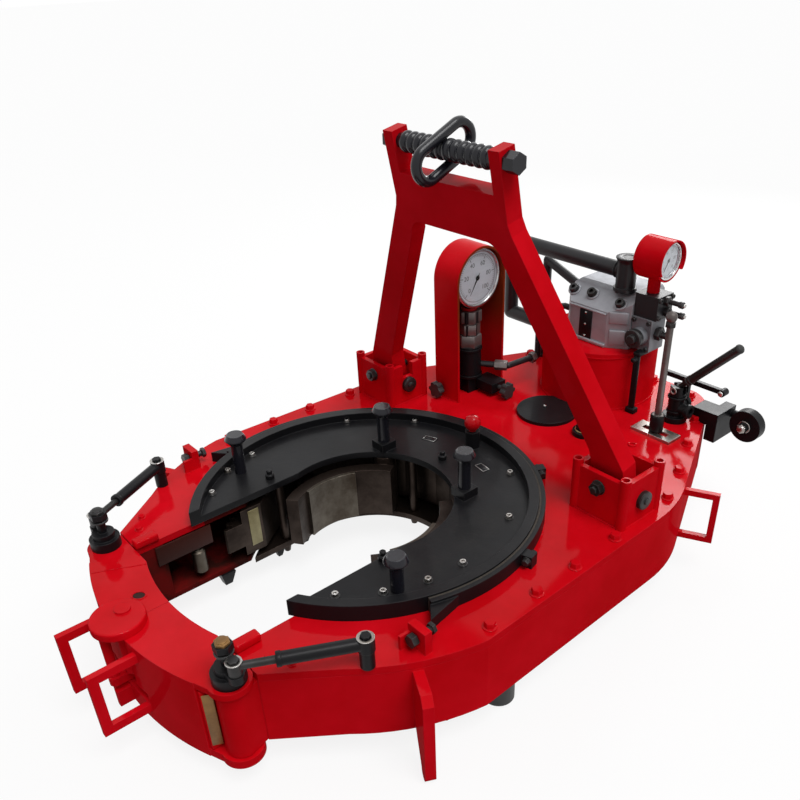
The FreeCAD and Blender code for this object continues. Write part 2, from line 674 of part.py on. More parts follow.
def make_doors():
    for name, side in (("right", 1), ("left", -1)):
        make_door(name, side)
        hx, hy = side * v("hinge_x"), v("hinge_y")
        ex = v("eye_x")
        arm = prism(flip_path([(abs(hx) - 6, hy - 14), (ex, hy - 14), ((ex + 14, hy), (ex, hy + 14)),
                               (abs(hx) - 6, hy + 14)], side), Z_TOP + 20, 14)
        pin = fuse([cyl(hx, hy, v("door_bottom"), v("hinge_pin"), Z_TOP + 20 - v("door_bottom")),
                    cyl(hx, hy, Z_TOP + 20, 9, 67), hexagon(hx, hy, Z_TOP + 67, 30, 13),
                    cyl(hx, hy, Z_TOP, v("crank_radius"), 21),
                    cyl(hx, hy, Z_TOP + 20, 22, 14), arm])
        place(f"door_crank_{name}", pin, (hx, hy, Z_TOP))


def make_latch():
    lx, ly = v("latch_x"), v("latch_y")
    z = v("latch_slot_z") + 3
    lug = v("latch_slot") - 6
    base = Z_TOP + SEAT
    hx, hy, r = v("hook_x"), v("hook_y"), v("hook_radius")
    disc = cyl(-8, v("latch_disc_y"), base, v("latch_radius"), v("latch_thick"))
    disc = disc.makeFillet(4, [e for e in disc.Edges if e.BoundBox.ZMin > base + 5])
    low = prism([(lx, ly + 16), ((lx - 16, ly), (lx, ly - 16)), (hx, hy - r - 4),
                 ((hx + r + 4, hy), (hx, hy + r + 4))], z, lug)
    hook = fuse([low, cyl(hx, hy, z, r, base - z + 2)])
    hook.rotate(Vector(lx, ly, 0), UP, -v("latch_swing"))
    deep = v("door_bottom") + 14
    latch = fuse([disc, hook, cyl(lx, ly, deep, 12, base - deep + 2),
                  cyl(lx, ly, base + v("latch_thick"), 15, 4)])
    place("door_latch", latch, (lx, ly, base))


# Door struts
def make_struts():
    ax, ay = v("strut_rear_x"), v("strut_rear_y")
    bx, by = v("eye_x"), v("hinge_y")
    z, r = Z_TOP + v("strut_up"), v("strut_radius")
    along = Vector(bx - ax, by - ay, 0)
    total = along.Length
    along.normalize()
    spot = lambda d: Vector(ax, ay, z) + along * d
    tube_end = total * 0.68
    foot = fuse([cyl(ax, ay, Z_TOP, 13, z - 14 - Z_TOP), cyl(ax, ay, Z_TOP, 8, z + 14 - Z_TOP)])
    cap = hexagon(ax, ay, z + 13 + SEAT, 16, 6)
    eye = cyl(ax, ay, z - 14 + SEAT, 15, 27 - SEAT)
    tube = Part.makeCylinder(r, tube_end - 4, spot(4), along)
    sleeve = fuse([eye, tube]).cut([cyl(ax, ay, 0, 8.1, 400),
                                    Part.makeCylinder(v("rod_radius") + 0.1, tube_end,
                                                      spot(40), along)])
    rod = Part.makeCylinder(v("rod_radius"), total - 60 - 8, spot(60), along)
    low = Z_TOP + 20 + 14 + SEAT
    end = fuse([cyl(bx, by, low, 12, z + 10 - low), rod])
    bolt = hexagon(bx, by, z + 10, 17, 6)
    post = fuse([foot, cap])
    place("strut_posts", Part.Compound([post, mirrored(post)]), (0, ay, Z_TOP))
    for name, side in (("right", 1), ("left", -1)):
        for label, shape, at in (("strut_tube", sleeve, (ax, ay, z)),
                                 ("strut_rod", fuse([end, bolt]), (bx, by, z))):
            place(f"{label}_{name}", shape if side > 0 else mirrored(shape),
                  (side * at[0], at[1], at[2]))


# Lifting frame, in its own leaning plane: u across, w up from the pivot pin
def make_frame():
    cos = math.cos(math.radians(v("frame_lean")))
    zp, yp = v("frame_pivot_z"), v("frame_pivot_y")
    stand = lambda level: (level + Z_RIM - zp) / cos
    scale = {"ear_top": stand(v("ear_top")), "web_top": stand(v("web_top")),
             "web_bottom": stand(v("web_bottom")), "knee_up": stand(v("knee_up"))}
    body = new_body("lifting_frame")
    path = frame_plan(scale)
    sketch = add_sketch(body, geometry(path), "XZ_Plane")
    feature = body.newObject("PartDesign::Pad", "lifting_frame_pad")
    feature.Profile = sketch
    feature.Midplane = True
    bind(feature, "Length", "Sizes.frame_thick")
    doc.recompute()
    shaft = stand(v("shaft_up"))
    hole = body.newObject("PartDesign::Pocket", "lifting_frame_bores")
    yz = add_sketch(body, [Part.Circle(Vector(0, 0, 0), UP, v("frame_pin") + v("run_clear")),
                           Part.Circle(Vector(0, shaft, 0), UP, v("screw_core") + v("run_clear"))],
                    "YZ_Plane")
    hole.Profile = yz
    hole.Midplane = True
    hole.Length = 2000
    doc.recompute()
    lean = Rotation(RIGHT, v("frame_lean"))
    body.Placement = Placement(Vector(0, yp, zp), lean)
    doc.recompute()
    return shaft, lean


def frame_plan(levels):
    """The frame outline with its upper levels turned into lengths along the frame."""
    px = (v("leg_out") + v("leg_in")) / 2
    low = -v("leg_low") / 2
    knee, web, top = levels["knee_up"], levels["web_bottom"], levels["ear_top"]
    flip = lambda p: (-p[0], p[1])
    foot = [(px - 36, low + 20), ((px, low - 6), (px + 36, low + 20))]
    outer = [(v("leg_out") - 8, 70), (v("knee_out"), knee), (v("ear_out"), knee + 22),
             (v("ear_out"), top), (v("ear_in"), top), (v("ear_in"), levels["web_top"])]
    bend = (v("leg_top_in") + 22, web - 8)
    inner = [(v("leg_in") - 6, 90), (v("leg_top_in") + 36, web - 34),
             (v("leg_top_in") - 8, web)]
    path = foot + outer + [flip(p) for p in reversed(outer)]
    path += [flip(foot[1][1]), (flip(foot[1][0]), flip(foot[0]))]
    path += [flip(inner[0]), flip(inner[1]), (flip(bend), flip(inner[2]))]
    path += [inner[2], (bend, inner[1]), inner[0]]
    return path


def make_frame_parts(shaft, lean):
    zp, yp = v("frame_pivot_z"), v("frame_pivot_y")
    place_in = Placement(Vector(0, yp, zp), lean)
    centre = place_in.multVec(Vector(0, 0, shaft))
    core, rib, pitch = v("screw_core"), v("screw_radius"), v("rib_pitch")
    inside = v("ear_in") - 2
    count = int(2 * inside // pitch)
    start = -count * pitch / 2
    outline = [(-inside, 0), (-inside, core)]
    for k in range(count):
        x = start + k * pitch
        outline += [(x + 1, core + 1), ((x + pitch / 2, rib), (x + pitch - 1, core + 1))]
    outline += [(inside, core), (inside, 0)]
    screw = Part.Face(wire(outline)).revolve(Vector(0, 0, 0), RIGHT, 360)
    out = v("ear_out") + 1
    screw = fuse([screw, cyl(-out, 0, 0, core, 2 * out, RIGHT),
                  hexagon(out, 0, 0, 34, 26, RIGHT), hexagon(-out - 10, 0, 0, 34, 10, RIGHT)])
    screw.translate(centre)
    place("level_screw", screw, tuple(centre))

    # Closed lifting link round the screw
    a, b, r = v("link_half"), v("link_wide"), v("link_bar")
    run = a - b
    straight = [Part.makeCylinder(r, 2 * run, Vector(0, -run, s * b), BACK) for s in (1, -1)]
    ends = []
    for s in (1, -1):
        torus = Part.makeTorus(b, r, Vector(0, s * run, 0), RIGHT)
        side = block(-2 * r, 0, -2 * a, 4 * r, 2 * a, 4 * a)
        if s < 0:
            side = block(-2 * r, -2 * a, -2 * a, 4 * r, 2 * a, 4 * a)
        side.translate(Vector(0, s * run, 0))
        ends.append(torus.common(side))
    link = fuse(straight + ends)
    link.translate(BACK * -v("link_slide"))
    link.rotate(Vector(0, 0, 0), RIGHT, v("link_tilt"))
    link.translate(centre)
    place("lifting_link", link, tuple(centre))


def make_brackets():
    x0, wide, t = v("bracket_in"), v("bracket_wide"), v("bracket_wall")
    y0, deep, tall = v("bracket_y"), v("bracket_deep"), v("bracket_tall")
    zp, yp, pin = v("frame_pivot_z"), v("frame_pivot_y"), v("frame_pin")
    tube = v("bracket_tube")
    shell = block(x0, y0, Z_TOP, wide, deep, tall).cut(
        block(x0 + t, y0 + t, Z_TOP, wide - 2 * t, deep - 2 * t, tall))
    corners = [(x, y) for x in (x0 + tube / 2, x0 + wide - tube / 2)
               for y in (y0 + tube / 2, y0 + deep - tube / 2)]
    slot = block(x0 - 5, yp - 16, Z_TOP + tall - 34, t + 6, 32, 40)
    bolt_z = Z_TOP + tall - 30
    middle = x0 + wide / 2
    bores = [cyl(x0 - 1, yp, zp, pin + 0.05, wide + 2, RIGHT)]
    bores += [cyl(middle, y0 - 1, bolt_z, 8.1, t + 2, BACK),
              cyl(middle, y0 + deep - t - 1, bolt_z, 8.1, t + 2, BACK)]
    keep = [cyl(x, y, Z_TOP, tube, tall + 12) for x, y in corners]
    right = shell.cut([slot] + bores + keep)
    tubes = [c.cut(cyl(x, y, Z_TOP + tall - 20, tube - 4, 40))
             for c, (x, y) in zip(keep, corners)]
    lean = math.radians(v("frame_lean"))
    half = v("frame_thick") / 2 / math.cos(lean)
    rise = bolt_z - zp
    face = yp - rise * math.tan(lean)
    front_tip, back_tip = face - half - SEAT - 8 * math.tan(lean), face + half + 7
    front = fuse([cyl(middle, y0 - 14, bolt_z, 8, front_tip - y0 + 14, BACK),
                  hexagon(middle, y0 - 14, bolt_z, 26, 13, BACK)])
    end = y0 + deep
    back = fuse([cyl(middle, back_tip, bolt_z, 8, end + 14 - back_tip, BACK),
                 hexagon(middle, end + 1, bolt_z, 26, 13, BACK)])
    cross = fuse([cyl(x0 - 8, yp, zp, pin, wide + 16, RIGHT),
                  cyl(x0 + wide, yp, zp, pin + 6, 8, RIGHT),
                  cyl(x0 - 8, yp, zp, pin + 6, 8, RIGHT)])
    right = fuse([right] + tubes)
    place("lift_brackets", Part.Compound([right, mirrored(right)]), (0, yp, Z_TOP))
    own = [front, back, cross]
    bolts = band_bolts()
    place("pins_and_bolts", Part.Compound(own + [mirrored(s) for s in own] + bolts), (0, yp, Z_TOP))


# Brake band round the dish
def make_band():
    inner = v("rim_radius") + v("band_gap")
    face = inner + v("lining")
    outer = face + v("band_thick")
    start, end = v("band_end"), 180 - v("band_end")
    low, tall = Z_TOP + SEAT, v("rim_height") - 4
    place("band_lining", prism(arc_band(inner, face, start, end), low, tall), (0, 0, low))
    band = prism(arc_band(face, outer, start, end), low, tall)
    lugs = []
    for side in (1, -1):
        root = polar(face + 4, start)
        tip = polar(outer + 36, start - 2)
        back = polar(outer - 2, start + 9)
        lugs.append(prism(flip_path([root, tip, back, polar(face + 4, start + 8)], side),
                          low, tall - 6))
    for degrees in (15, 62):
        piece = block(outer - 4, -11, low, 26, 22, tall - 4)
        piece.rotate(Vector(0, 0, 0), UP, degrees)
        lugs.append(piece)
    place("brake_band", fuse([band] + lugs), (0, 0, low))


ANCHOR = (403.0, -196.0)


def band_brackets():
    """Anchor brackets of the band ends, welded to the top plate."""
    x, y = ANCHOR
    low = Z_TOP - 1
    bracket = fuse([block(x - 22, y - 8, low, 44, 16, 47), block(x - 22, y - 30, low, 6, 30, 31)])
    bracket = bracket.cut(cyl(x - 2, y - 40, Z_TOP + 24, 7.1, 80, BACK))
    return [bracket, mirrored(bracket)]


def band_bolts():
    x, y = ANCHOR
    bolt = fuse([cyl(x - 2, y - 22, Z_TOP + 24, 7, 44, BACK),
                 hexagon(x - 2, y - 22, Z_TOP + 24, 22, 12, BACK)])
    return [bolt, mirrored(bolt)]


# Motor end
def make_motor(motor):
    x, y = v("drum_x"), v("drum_y")
    top, radius = Z_TOP + v("drum_tall"), v("drum_radius")
    bx, by, wide, deep, tall = (v(n) for n in ("block_x", "block_y", "block_wide",
                                               "block_deep", "block_tall"))
    fx, fy, fz = bx + 0.75 * wide, by + 58, top + tall
    bend = top - v("pipe_radius") - 4
    port = cyl(x - radius - 10, fy, bend, v("pipe_radius") + 5, 40, RIGHT)
    drum = fuse([cyl(x, y, Z_TOP, radius, v("drum_tall")), port]).cut(cyl(*motor, Z_TOP, 36, 30))
    place("motor_drum", drum, (x, y, Z_TOP))

    # Motor casting: a block with a sloped front and cut front corners
    low = tall - 42
    side = Part.Face(Part.makePolygon([Vector(bx, by + u, top + w) for u, w in (
        (0, 0), (deep, 0), (deep, tall), (v("block_slope"), tall), (0, low), (0, 0))]))
    body = side.extrude(RIGHT * wide)
    rear = [e for e in body.Edges if e.BoundBox.YMin > by + deep - 1 or
            (e.BoundBox.YMin > by + v("block_slope") - 1 and e.BoundBox.ZMin > top + tall - 1)]
    body = body.makeChamfer(8, rear)
    edge = bx + wide
    body = body.cut([prism([(edge - 50, by - 1), (edge + 1, by - 1), (edge + 1, by + 32)],
                           top - 1, tall + 2),
                     prism([(bx + 26, by - 1), (bx - 1, by + 26), (bx - 1, by - 1)],
                           top - 1, tall + 2)])
    place("motor_block", body, (x, y, top))
    valve = fuse([block(edge, by + 34, top + 8, 56, 56, 80),
                  cyl(edge + 28, by + 12, top + 44, 22, 24, BACK),
                  block(edge, by + 38, top + 88, 64, 60, 57)])
    place("relief_valve", valve, (edge, by, top))

    # Supply pipe: from the upright fitting to the left, down and back to the drum's port
    wide_fit = v("pipe_radius") + 5
    fitting = fuse([cyl(fx, fy, fz, wide_fit, 82), cone(fx, fy, fz + 70, wide_fit, wide_fit + 4, 12),
                    cyl(fx, fy, fz, wide_fit + 4, 9)])
    pz, left = fz + 47, -322.0
    supply = rod_path([(fx, fy, pz), (left, fy, pz), (left, fy, bend),
                       (x - radius - 10, fy, bend)], v("pipe_radius"))
    back = by + 120
    drain = fuse([rod_path([(bx, back, top + 76), (bx - 30, back, top + 76),
                            (-250, back, top + 126), (-250, back, Z_TOP)], 12),
                  cyl(-250, back, Z_TOP, 22, 9)])
    stem = v("tower_x") + v("tower_deep") - 45
    level = Z_TOP + 73
    thin = rod_path([(bx, by + 34, top + 56), (bx - 20, by + 34, top + 56),
                     (-150, 701, top + 56), (-150, 701, level), (-160, 600, level),
                     (stem + 26.4, v("tower_y") + 18.6, level)], 8)
    place("hydraulic_pipes", Part.Compound([supply.fuse(fitting), drain, thin]), (fx, fy, pz))


def round_gauge(x, y, z, radius, dial, deep):
    """Case with bezel and dial card, glass and needle of a round gauge that faces +X."""
    case = fuse([cyl(x - deep, y, z, radius - 2, deep - 5, RIGHT), cyl(x - 10, y, z, radius, 10, RIGHT)])
    case = case.cut(cyl(x - 5, y, z, dial, 10, RIGHT))
    glass = cyl(x - 1.8, y, z, dial - SEAT, 1.5, RIGHT)
    blade = Part.Face(Part.makePolygon([Vector(x - 4, y + a * dial, z + b * dial) for a, b in
                                        ((-0.03, 0), (0, -0.72), (0.03, 0), (0, 0.2), (-0.03, 0))]))
    needle = fuse([cyl(x - 4.5, y, z, dial * 0.09, 1.6, RIGHT), blade.extrude(RIGHT * 0.8)])
    needle.rotate(Vector(x, y, z), RIGHT, -32)
    return case, glass, needle


def make_tower():
    x, deep, y, up = v("tower_x"), v("tower_deep"), v("tower_y"), v("tower_up")
    r, t = v("tower_radius"), v("tower_wall")
    arch = lambda rad: [(y - rad, Z_TOP), (y + rad, Z_TOP), (y + rad, up),
                        ((y, up + rad), (y - rad, up))]
    body = new_body("gauge_shroud")
    parts = geometry([(y - r, Z_TOP), (y - r, up), ((y, up + r), (y + r, up)), (y + r, Z_TOP),
                      (y + r - t, Z_TOP), (y + r - t, up), ((y, up + r - t), (y - r + t, up)),
                      (y - r + t, Z_TOP)])
    pad(body, parts, "Sizes.tower_deep", "YZ_Plane", "Sizes.tower_x")
    parts = geometry(arch(r - t / 2))
    pad(body, parts, "Sizes.tower_wall", "YZ_Plane", "Sizes.tower_x")
    front = x + deep - 12
    gx = front - 33
    stem = [cyl(gx, y, up - 110, 13, 112 - v("bezel_radius") - SEAT), hexagon(gx, y, up - 118, 54, 30),
            hexagon(gx, y, up - 158, 48, 34), cyl(gx, y, up - 184, 14, 70)]
    tee = [cyl(gx, y, Z_TOP + 39, 32, up - 183 - Z_TOP - 40), block(gx - 24, y - 24, Z_TOP, 48, 48, 40),
           block(gx - 29, y - 70, Z_TOP + 13, 24, 48, 22), block(gx + 20, y, Z_TOP + 11, 66, 50, 26)]
    place("gauge_manifold", fuse(stem + tee), (gx, y, Z_TOP))
    knob_z = Z_TOP + 24
    for name, kx, ky, turn in (("left", gx - 17, y - 70, -90), ("right", gx + 86, y + 25, 0)):
        knob = star_knob(turn)
        knob.translate(Vector(kx, ky, knob_z))
        place(f"needle_valve_{name}", knob, (kx, ky, knob_z))
    hole = body.newObject("PartDesign::Pocket", "gauge_shroud_stem_hole")
    hole.Profile = add_sketch(body, [Part.Circle(Vector(gx - 17, knob_z, 0), UP, 7.5)], "XZ_Plane")
    hole.Midplane = True
    hole.Length = 2 * (y - r + t) + 1
    doc.recompute()


def star_knob(turn):
    """Star grip on a stem along +X, turned about +Z."""
    lobes = [cyl(23, 15 * math.cos(a), 15 * math.sin(a), 6.5, 16, RIGHT)
             for a in (math.radians(60 * k) for k in range(6))]
    knob = fuse([cyl(SEAT, 0, 0, 6, 25, RIGHT), cyl(23, 0, 0, 17, 16, RIGHT)] + lobes)
    knob.rotate(Vector(0, 0, 0), UP, turn)
    return knob


def make_gauges():
    front = v("tower_x") + v("tower_deep") - 12
    big = (front, v("tower_y"), v("tower_up"))
    edge = v("block_x") + v("block_wide")
    base = Z_TOP + v("drum_tall") + 145
    small = (edge + 60, v("block_y") + 69, base + 81)
    sets = (("torque", big, round_gauge(*big, v("bezel_radius"), v("dial_radius"), 50)),
            ("pressure", small, round_gauge(*small, 44, 39, 60 - SEAT)))
    x, y, z = small
    guard = cyl(x - 66, y, z, 49, 76, RIGHT).cut([cyl(x - 60, y, z, 45, 90, RIGHT),
                                                  block(x + 1, y - 60, z - 60, 20, 120, 34)])
    guard = fuse([guard, cyl(x - 34, y, base, 15, 36)])
    place("small_gauge_guard", guard, small)
    place("gauge_cases", Part.Compound([s[2][0] for s in sets]), big)
    place("gauge_glasses", Part.Compound([s[2][1] for s in sets]), big)
    for name, at, shapes in sets:
        place(f"{name}_needle", shapes[2], at)


def make_controls():
    # Gear shift: slotted gate, collar and rod
    x, y = SHIFT
    hinge = Z_TOP + 4
    gate = block(x - 54, y - 24, Z_TOP, 108, 48, 8).cut(
        [block(x - 34, y - 8, Z_TOP - 1, 68, 16, 10), cyl(x, y - 16, hinge, 2.6, 32, BACK)])
    place("shift_gate", gate, (x, y, Z_TOP))
    lever = fuse([cyl(x, y, hinge + 6.5, 13, 42), cyl(x, y, Z_TOP - 10, 6.5, 22),
                  cyl(x, y - 15, hinge, 2.5, 30, BACK), cyl(x, y, Z_TOP + 50, 8, 240),
                  Part.makeSphere(13, Vector(x, y, Z_TOP + 296))])
    place("shift_lever", lever, (x, y, hinge))

    # Control valve with its hand lever
    x, y = 232.0, 782.0
    top = Z_TOP + 92
    ports = [cyl(x + 42, y, Z_TOP + 34, 9, 16, RIGHT * -1), cyl(x, y + 42, Z_TOP + 34, 9, 16, BACK * -1)]
    body = fuse([cyl(x, y, Z_TOP, 30, 14), cyl(x, y, Z_TOP + 12, 19, top - Z_TOP - 12),
                 cyl(x, y, Z_TOP + 34, 14, 42, RIGHT), cyl(x, y, Z_TOP + 34, 14, 42, BACK)]).cut(
        [block(x - 30, y - 7, top - 20, 60, 14, 40), cyl(x, y - 30, top - 8, 5.1, 60, BACK)] + ports)
    lever = fuse([cyl(x, y - 6.5, top - 8, 10, 13, BACK), cyl(x, y - 19, top - 8, 5, 38, BACK),
                  Part.makeCylinder(6, 40, Vector(x + 2, y, top - 4), Vector(1, 0, 1.06)),
                  Part.makeCylinder(10.5, 170, Vector(x + 20, y, top + 15), Vector(1, 0, 1.06))])
    place("control_lever", lever, (x, y, top - 8))
    bar = [block(x - 70, y + 29, top - 2, 172, 10, 12), cyl(x + 98, y + 24, top + 4, 9, 20, BACK),
           block(x - 10, y + 12, top - 46, 20, 27, 20), block(x - 10, y + 29, top - 46, 20, 10, 54)]
    place("control_valve", fuse([body] + bar), (x, y, Z_TOP))


def make_tail():
    """Line roller on the rear right corner: mount, arm with eye, bolt and roller."""
    x, y, z = 387.0, 850.0, Z_TOP + 18
    back = y + 16
    arm = [block(262, 812, Z_TOP, 68, 50, 35), block(302, 812, Z_TOP - 40, 28, 80, 75),
           cyl(326, back + 12, z, 10, x - 326, RIGHT), cyl(x, back, z, 16, 24, BACK),
           cyl(x, y - 24, z, 8, 60, BACK), hexagon(x, y - 24, z, 24, 9, BACK)]
    place("tail_fork", fuse(arm), (x, y, Z_TOP))
    roller = cyl(x, y - 12.5, z, 39, 25, BACK).cut(cyl(x, y - 30, z, 8.1, 60, BACK))
    place("tail_roller", roller, (x, y, z))


def make_feet():
    feet = []
    for x, y in ((425, -25), (-425, -25), (200, 760), (-200, 760)):
        feet.append(fuse([cyl(x, y, 6, 32, Z_BOTTOM - 6), cone(x, y, 0, 26, 32, 6)]))
    place("rubber_feet", Part.Compound(feet), (0, 0, 0))


def make_covers():
    """Bolted covers over the drive shaft and the filler; the large one clears the drum."""
    at = (-8.0, v("drive_y") - 16)
    room = cyl(v("drum_x"), v("drum_y"), Z_TOP - 1, v("drum_radius") + 1, 20)
    large = fuse([cyl(*at, Z_TOP, 75, 9), cyl(at[0] - 11, at[1] + 6, Z_TOP + 9, 5, 3)]).cut(room)
    place("shaft_covers", Part.Compound([large, cyl(127, 566, Z_TOP, 28, 12)]), (*at, Z_TOP))


def build():
    first, second, p1, p2, p3, _ = solve_train()
    reach = v("input_module") * (v("input_teeth") + v("motor_teeth")) / 2
    motor = polar(reach, v("motor_angle"), 0.0, v("drive_y"))
    make_case()
    make_top_plate([(0.0, v("drive_y"), 50.0), (*motor, 20.0), (*SHIFT, 11.0)])
    make_ring()
    make_guides()
    make_train(first, second, p1, p2, p3)
    make_cage()
    make_jaws()
    make_doors()
    make_latch()
    make_struts()
    shaft, lean = make_frame()
    make_frame_parts(shaft, lean)
    make_brackets()
    make_band()
    make_motor(motor)
    make_tower()
    make_gauges()
    make_controls()
    make_tail()
    make_feet()
    make_covers()


def export():
    os.makedirs("parts", exist_ok=True)
    doc.recompute()
    for item in doc.Objects:
        if "Invalid" in item.State or "Error" in item.State:
            raise RuntimeError(f"{item.Label} did not recompute")
    for item in pieces:
        if item.Shape.isNull() or not item.Shape.isValid():
            raise RuntimeError(f"{item.Label} has no valid shape")
    for item in pieces:
        item.Shape.exportStep(f"parts/{item.Label}.step")


build()
export()
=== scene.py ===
"""Looks of the hydraulic casing tong: finishes, fasteners, dials, fittings and stage."""

import math
from functools import partial

import bpy
from mathutils import Euler, Matrix, Vector


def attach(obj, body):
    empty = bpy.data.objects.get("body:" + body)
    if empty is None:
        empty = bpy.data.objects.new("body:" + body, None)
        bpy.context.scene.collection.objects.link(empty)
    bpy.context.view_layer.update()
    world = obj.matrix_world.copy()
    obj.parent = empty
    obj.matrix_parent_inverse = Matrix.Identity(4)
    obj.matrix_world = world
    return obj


bl_info = {
    "name": "Casing tong",
    "version": (1, 0, 0),
    "blender": (4, 5, 0),
    "location": "View3D > Sidebar > Tong",
    "description": "Dresses the packed casing tong with its finishes, small pieces and stage",
    "category": "Object",
}

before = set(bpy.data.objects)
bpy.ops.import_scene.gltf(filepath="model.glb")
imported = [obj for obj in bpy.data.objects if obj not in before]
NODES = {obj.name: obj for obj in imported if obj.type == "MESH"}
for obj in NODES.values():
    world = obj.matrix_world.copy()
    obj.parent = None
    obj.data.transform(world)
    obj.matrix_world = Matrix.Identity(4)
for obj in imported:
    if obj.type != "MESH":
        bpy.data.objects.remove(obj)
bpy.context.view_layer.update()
MM = 0.001
SIDES = (("right", 1), ("left", -1))

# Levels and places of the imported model, in millimetres
FLOOR_UNDER = 67
PLATE_TOP = 227
WELD_LEVEL = 226.5
DISH_TOP = 243
COVER_TOP = 239
CRANK = (246, -474)
ROD_EYE = (275, -474)
STRUT_POST = (376, -288)
SIGHT = (-53, -494)
BRACKET = (365, 375)
BRACKET_BOLT = 301
COLUMN = (-245, 540)
DRUM = (-20, 796)
ROUND_COVER = (-19, 590)
FILLER = (127, 566)
SHIFT_ROD = (244, 689)
HAND_VALVE = (232, 782)
TORQUE_GAUGE = (-216.95, 540, 537)
PRESSURE_GAUGE = (152.05, 789, 605)


# Sizes and colours
colour = partial(bpy.props.FloatVectorProperty, subtype="COLOR")
length = partial(bpy.props.FloatProperty, unit="LENGTH")


class TongFinish(bpy.types.PropertyGroup):
    red: colour(name="Red enamel", description="Paint of case, doors and frame",
                default=(0.70, 0.004, 0.012))
    red_deep: colour(name="Deep red", description="The enamel where it lies thick",
                     default=(0.58, 0.002, 0.006))
    black: colour(name="Black enamel", description="Paint of dish, struts and pipes",
                  default=(0.009, 0.009, 0.0105))
    casting: colour(name="Casting grey", description="Bare motor casting",
                    default=(0.34, 0.35, 0.38))
    oil: colour(name="Oiled steel", description="Machined steel under oil",
                default=(0.05, 0.036, 0.029))
    edge: length(name="Edge radius", description="Width of the rounded paint edge", default=0.0025)


class TongSizes(bpy.types.PropertyGroup):
    plate_bolt: length(name="Plate bolt", description="Across flats of the case bolts", default=0.019)
    dish_screw: length(name="Dish screw", description="Head radius of the dish screws", default=0.0065)
    dial: length(name="Torque dial", description="Radius of the torque dial", default=0.0655)
    small_dial: length(name="Pressure dial", description="Radius of the pressure dial", default=0.0385)


class TongStage(bpy.types.PropertyGroup):
    sun: bpy.props.FloatProperty(
        name="Sun", description="Strength of the wide soft light from above", default=1.9)
    rear: bpy.props.FloatProperty(
        name="Rear lamp", description="Watts of the soft box that shines over the motor end",
        default=34.0)
    sky: bpy.props.FloatProperty(
        name="Sky", description="Strength of the even light all round", default=0.34)
    floor: colour(name="Floor", description="Colour of the floor", default=(0.95, 0.95, 0.95))
    bounce: colour(name="Floor bounce", description="Colour of the light that the floor throws up",
                   default=(0.36, 0.36, 0.36))


def finish_values():
    return bpy.context.scene.tong_finish


def size_values():
    return bpy.context.scene.tong_sizes


# Node trees
def put(tree, kind, inputs=None, **settings):
    """A node with its settings and inputs; an input may be a value or a socket."""
    item = tree.nodes.new(kind)
    for key, value in settings.items():
        setattr(item, key, value)
    for key, value in (inputs or {}).items():
        if isinstance(value, bpy.types.NodeSocket):
            tree.links.new(value, item.inputs[key])
        else:
            item.inputs[key].default_value = value
    return item


def maths(tree, operation, a, b=0.0, clamp=False):
    return put(tree, "ShaderNodeMath", {0: a, 1: b}, operation=operation,
               use_clamp=clamp).outputs[0]


def product(tree, first, *others):
    for value in others:
        first = maths(tree, "MULTIPLY", first, value)
    return first


def below(tree, value, limit):
    return maths(tree, "LESS_THAN", value, limit)


def above(tree, value, limit):
    return maths(tree, "GREATER_THAN", value, limit)


def vectors(tree, operation, a, b=(0, 0, 0)):
    """Vector maths; a dot product and a length come out as a number."""
    kind = "Value" if operation in ("DOT_PRODUCT", "LENGTH") else "Vector"
    return put(tree, "ShaderNodeVectorMath", {0: a, 1: b}, operation=operation).outputs[kind]


def coords(tree, output="Object"):
    return put(tree, "ShaderNodeTexCoord").outputs[output]


def axes(tree, output="Object"):
    """The X, Y and Z parts of a texture coordinate."""
    return put(tree, "ShaderNodeSeparateXYZ", {0: coords(tree, output)}).outputs


def noise(tree, scale, detail, roughness=0.5, vector=None):
    vector = coords(tree) if vector is None else vector
    return put(tree, "ShaderNodeTexNoise", {"Vector": vector, "Scale": scale, "Detail": detail,
                                            "Roughness": roughness}).outputs["Fac"]


def rgba(colour):
    return (*colour[:3], 1.0)


def shaded(colour, factor):
    return tuple(min(part * factor, 1.0) for part in colour)


def blend_colour(tree, factor, a, b):
    """A mix of two colours, each of them a socket or three numbers."""
    a, b = (tint if isinstance(tint, bpy.types.NodeSocket) else rgba(tint) for tint in (a, b))
    return put(tree, "ShaderNodeMix", {0: factor, 6: a, 7: b}, data_type="RGBA").outputs[2]


def spread(tree, value, low, high, start=0.0, end=1.0):
    """Maps start to end of a value onto low to high."""
    return put(tree, "ShaderNodeMapRange", {"Value": value, "From Min": start, "From Max": end,
                                            "To Min": low, "To Max": high}).outputs[0]


# Shared groups
def new_group(name, inputs, outputs):
    """An empty group; its Normal goes out as a vector, everything else is a number."""
    tree = bpy.data.node_groups.new(name, "ShaderNodeTree")
    for label, value in inputs.items():
        socket = tree.interface.new_socket(name=label, in_out="INPUT", socket_type="NodeSocketFloat")
        socket.default_value = value
    for label in outputs:
        kind = "NodeSocketVector" if label == "Normal" else "NodeSocketFloat"
        tree.interface.new_socket(name=label, in_out="OUTPUT", socket_type=kind)
    given = tree.nodes.new("NodeGroupInput").outputs
    return tree, given, tree.nodes.new("NodeGroupOutput").inputs


def soft_edge_group():
    """Normal of a slightly rounded edge, and a mask of where the edges are."""
    tree, given, result = new_group("Soft edge", {"Radius": 0.002}, ("Normal", "Edge"))
    bevel = put(tree, "ShaderNodeBevel", {"Radius": given["Radius"]}, samples=4).outputs[0]
    plain = put(tree, "ShaderNodeNewGeometry").outputs["Normal"]
    bent = maths(tree, "SUBTRACT", 1.0, vectors(tree, "DOT_PRODUCT", bevel, plain))
    sharpness = 7.0
    tree.links.new(bevel, result["Normal"])
    tree.links.new(maths(tree, "MULTIPLY", bent, sharpness, clamp=True), result["Edge"])
    return tree


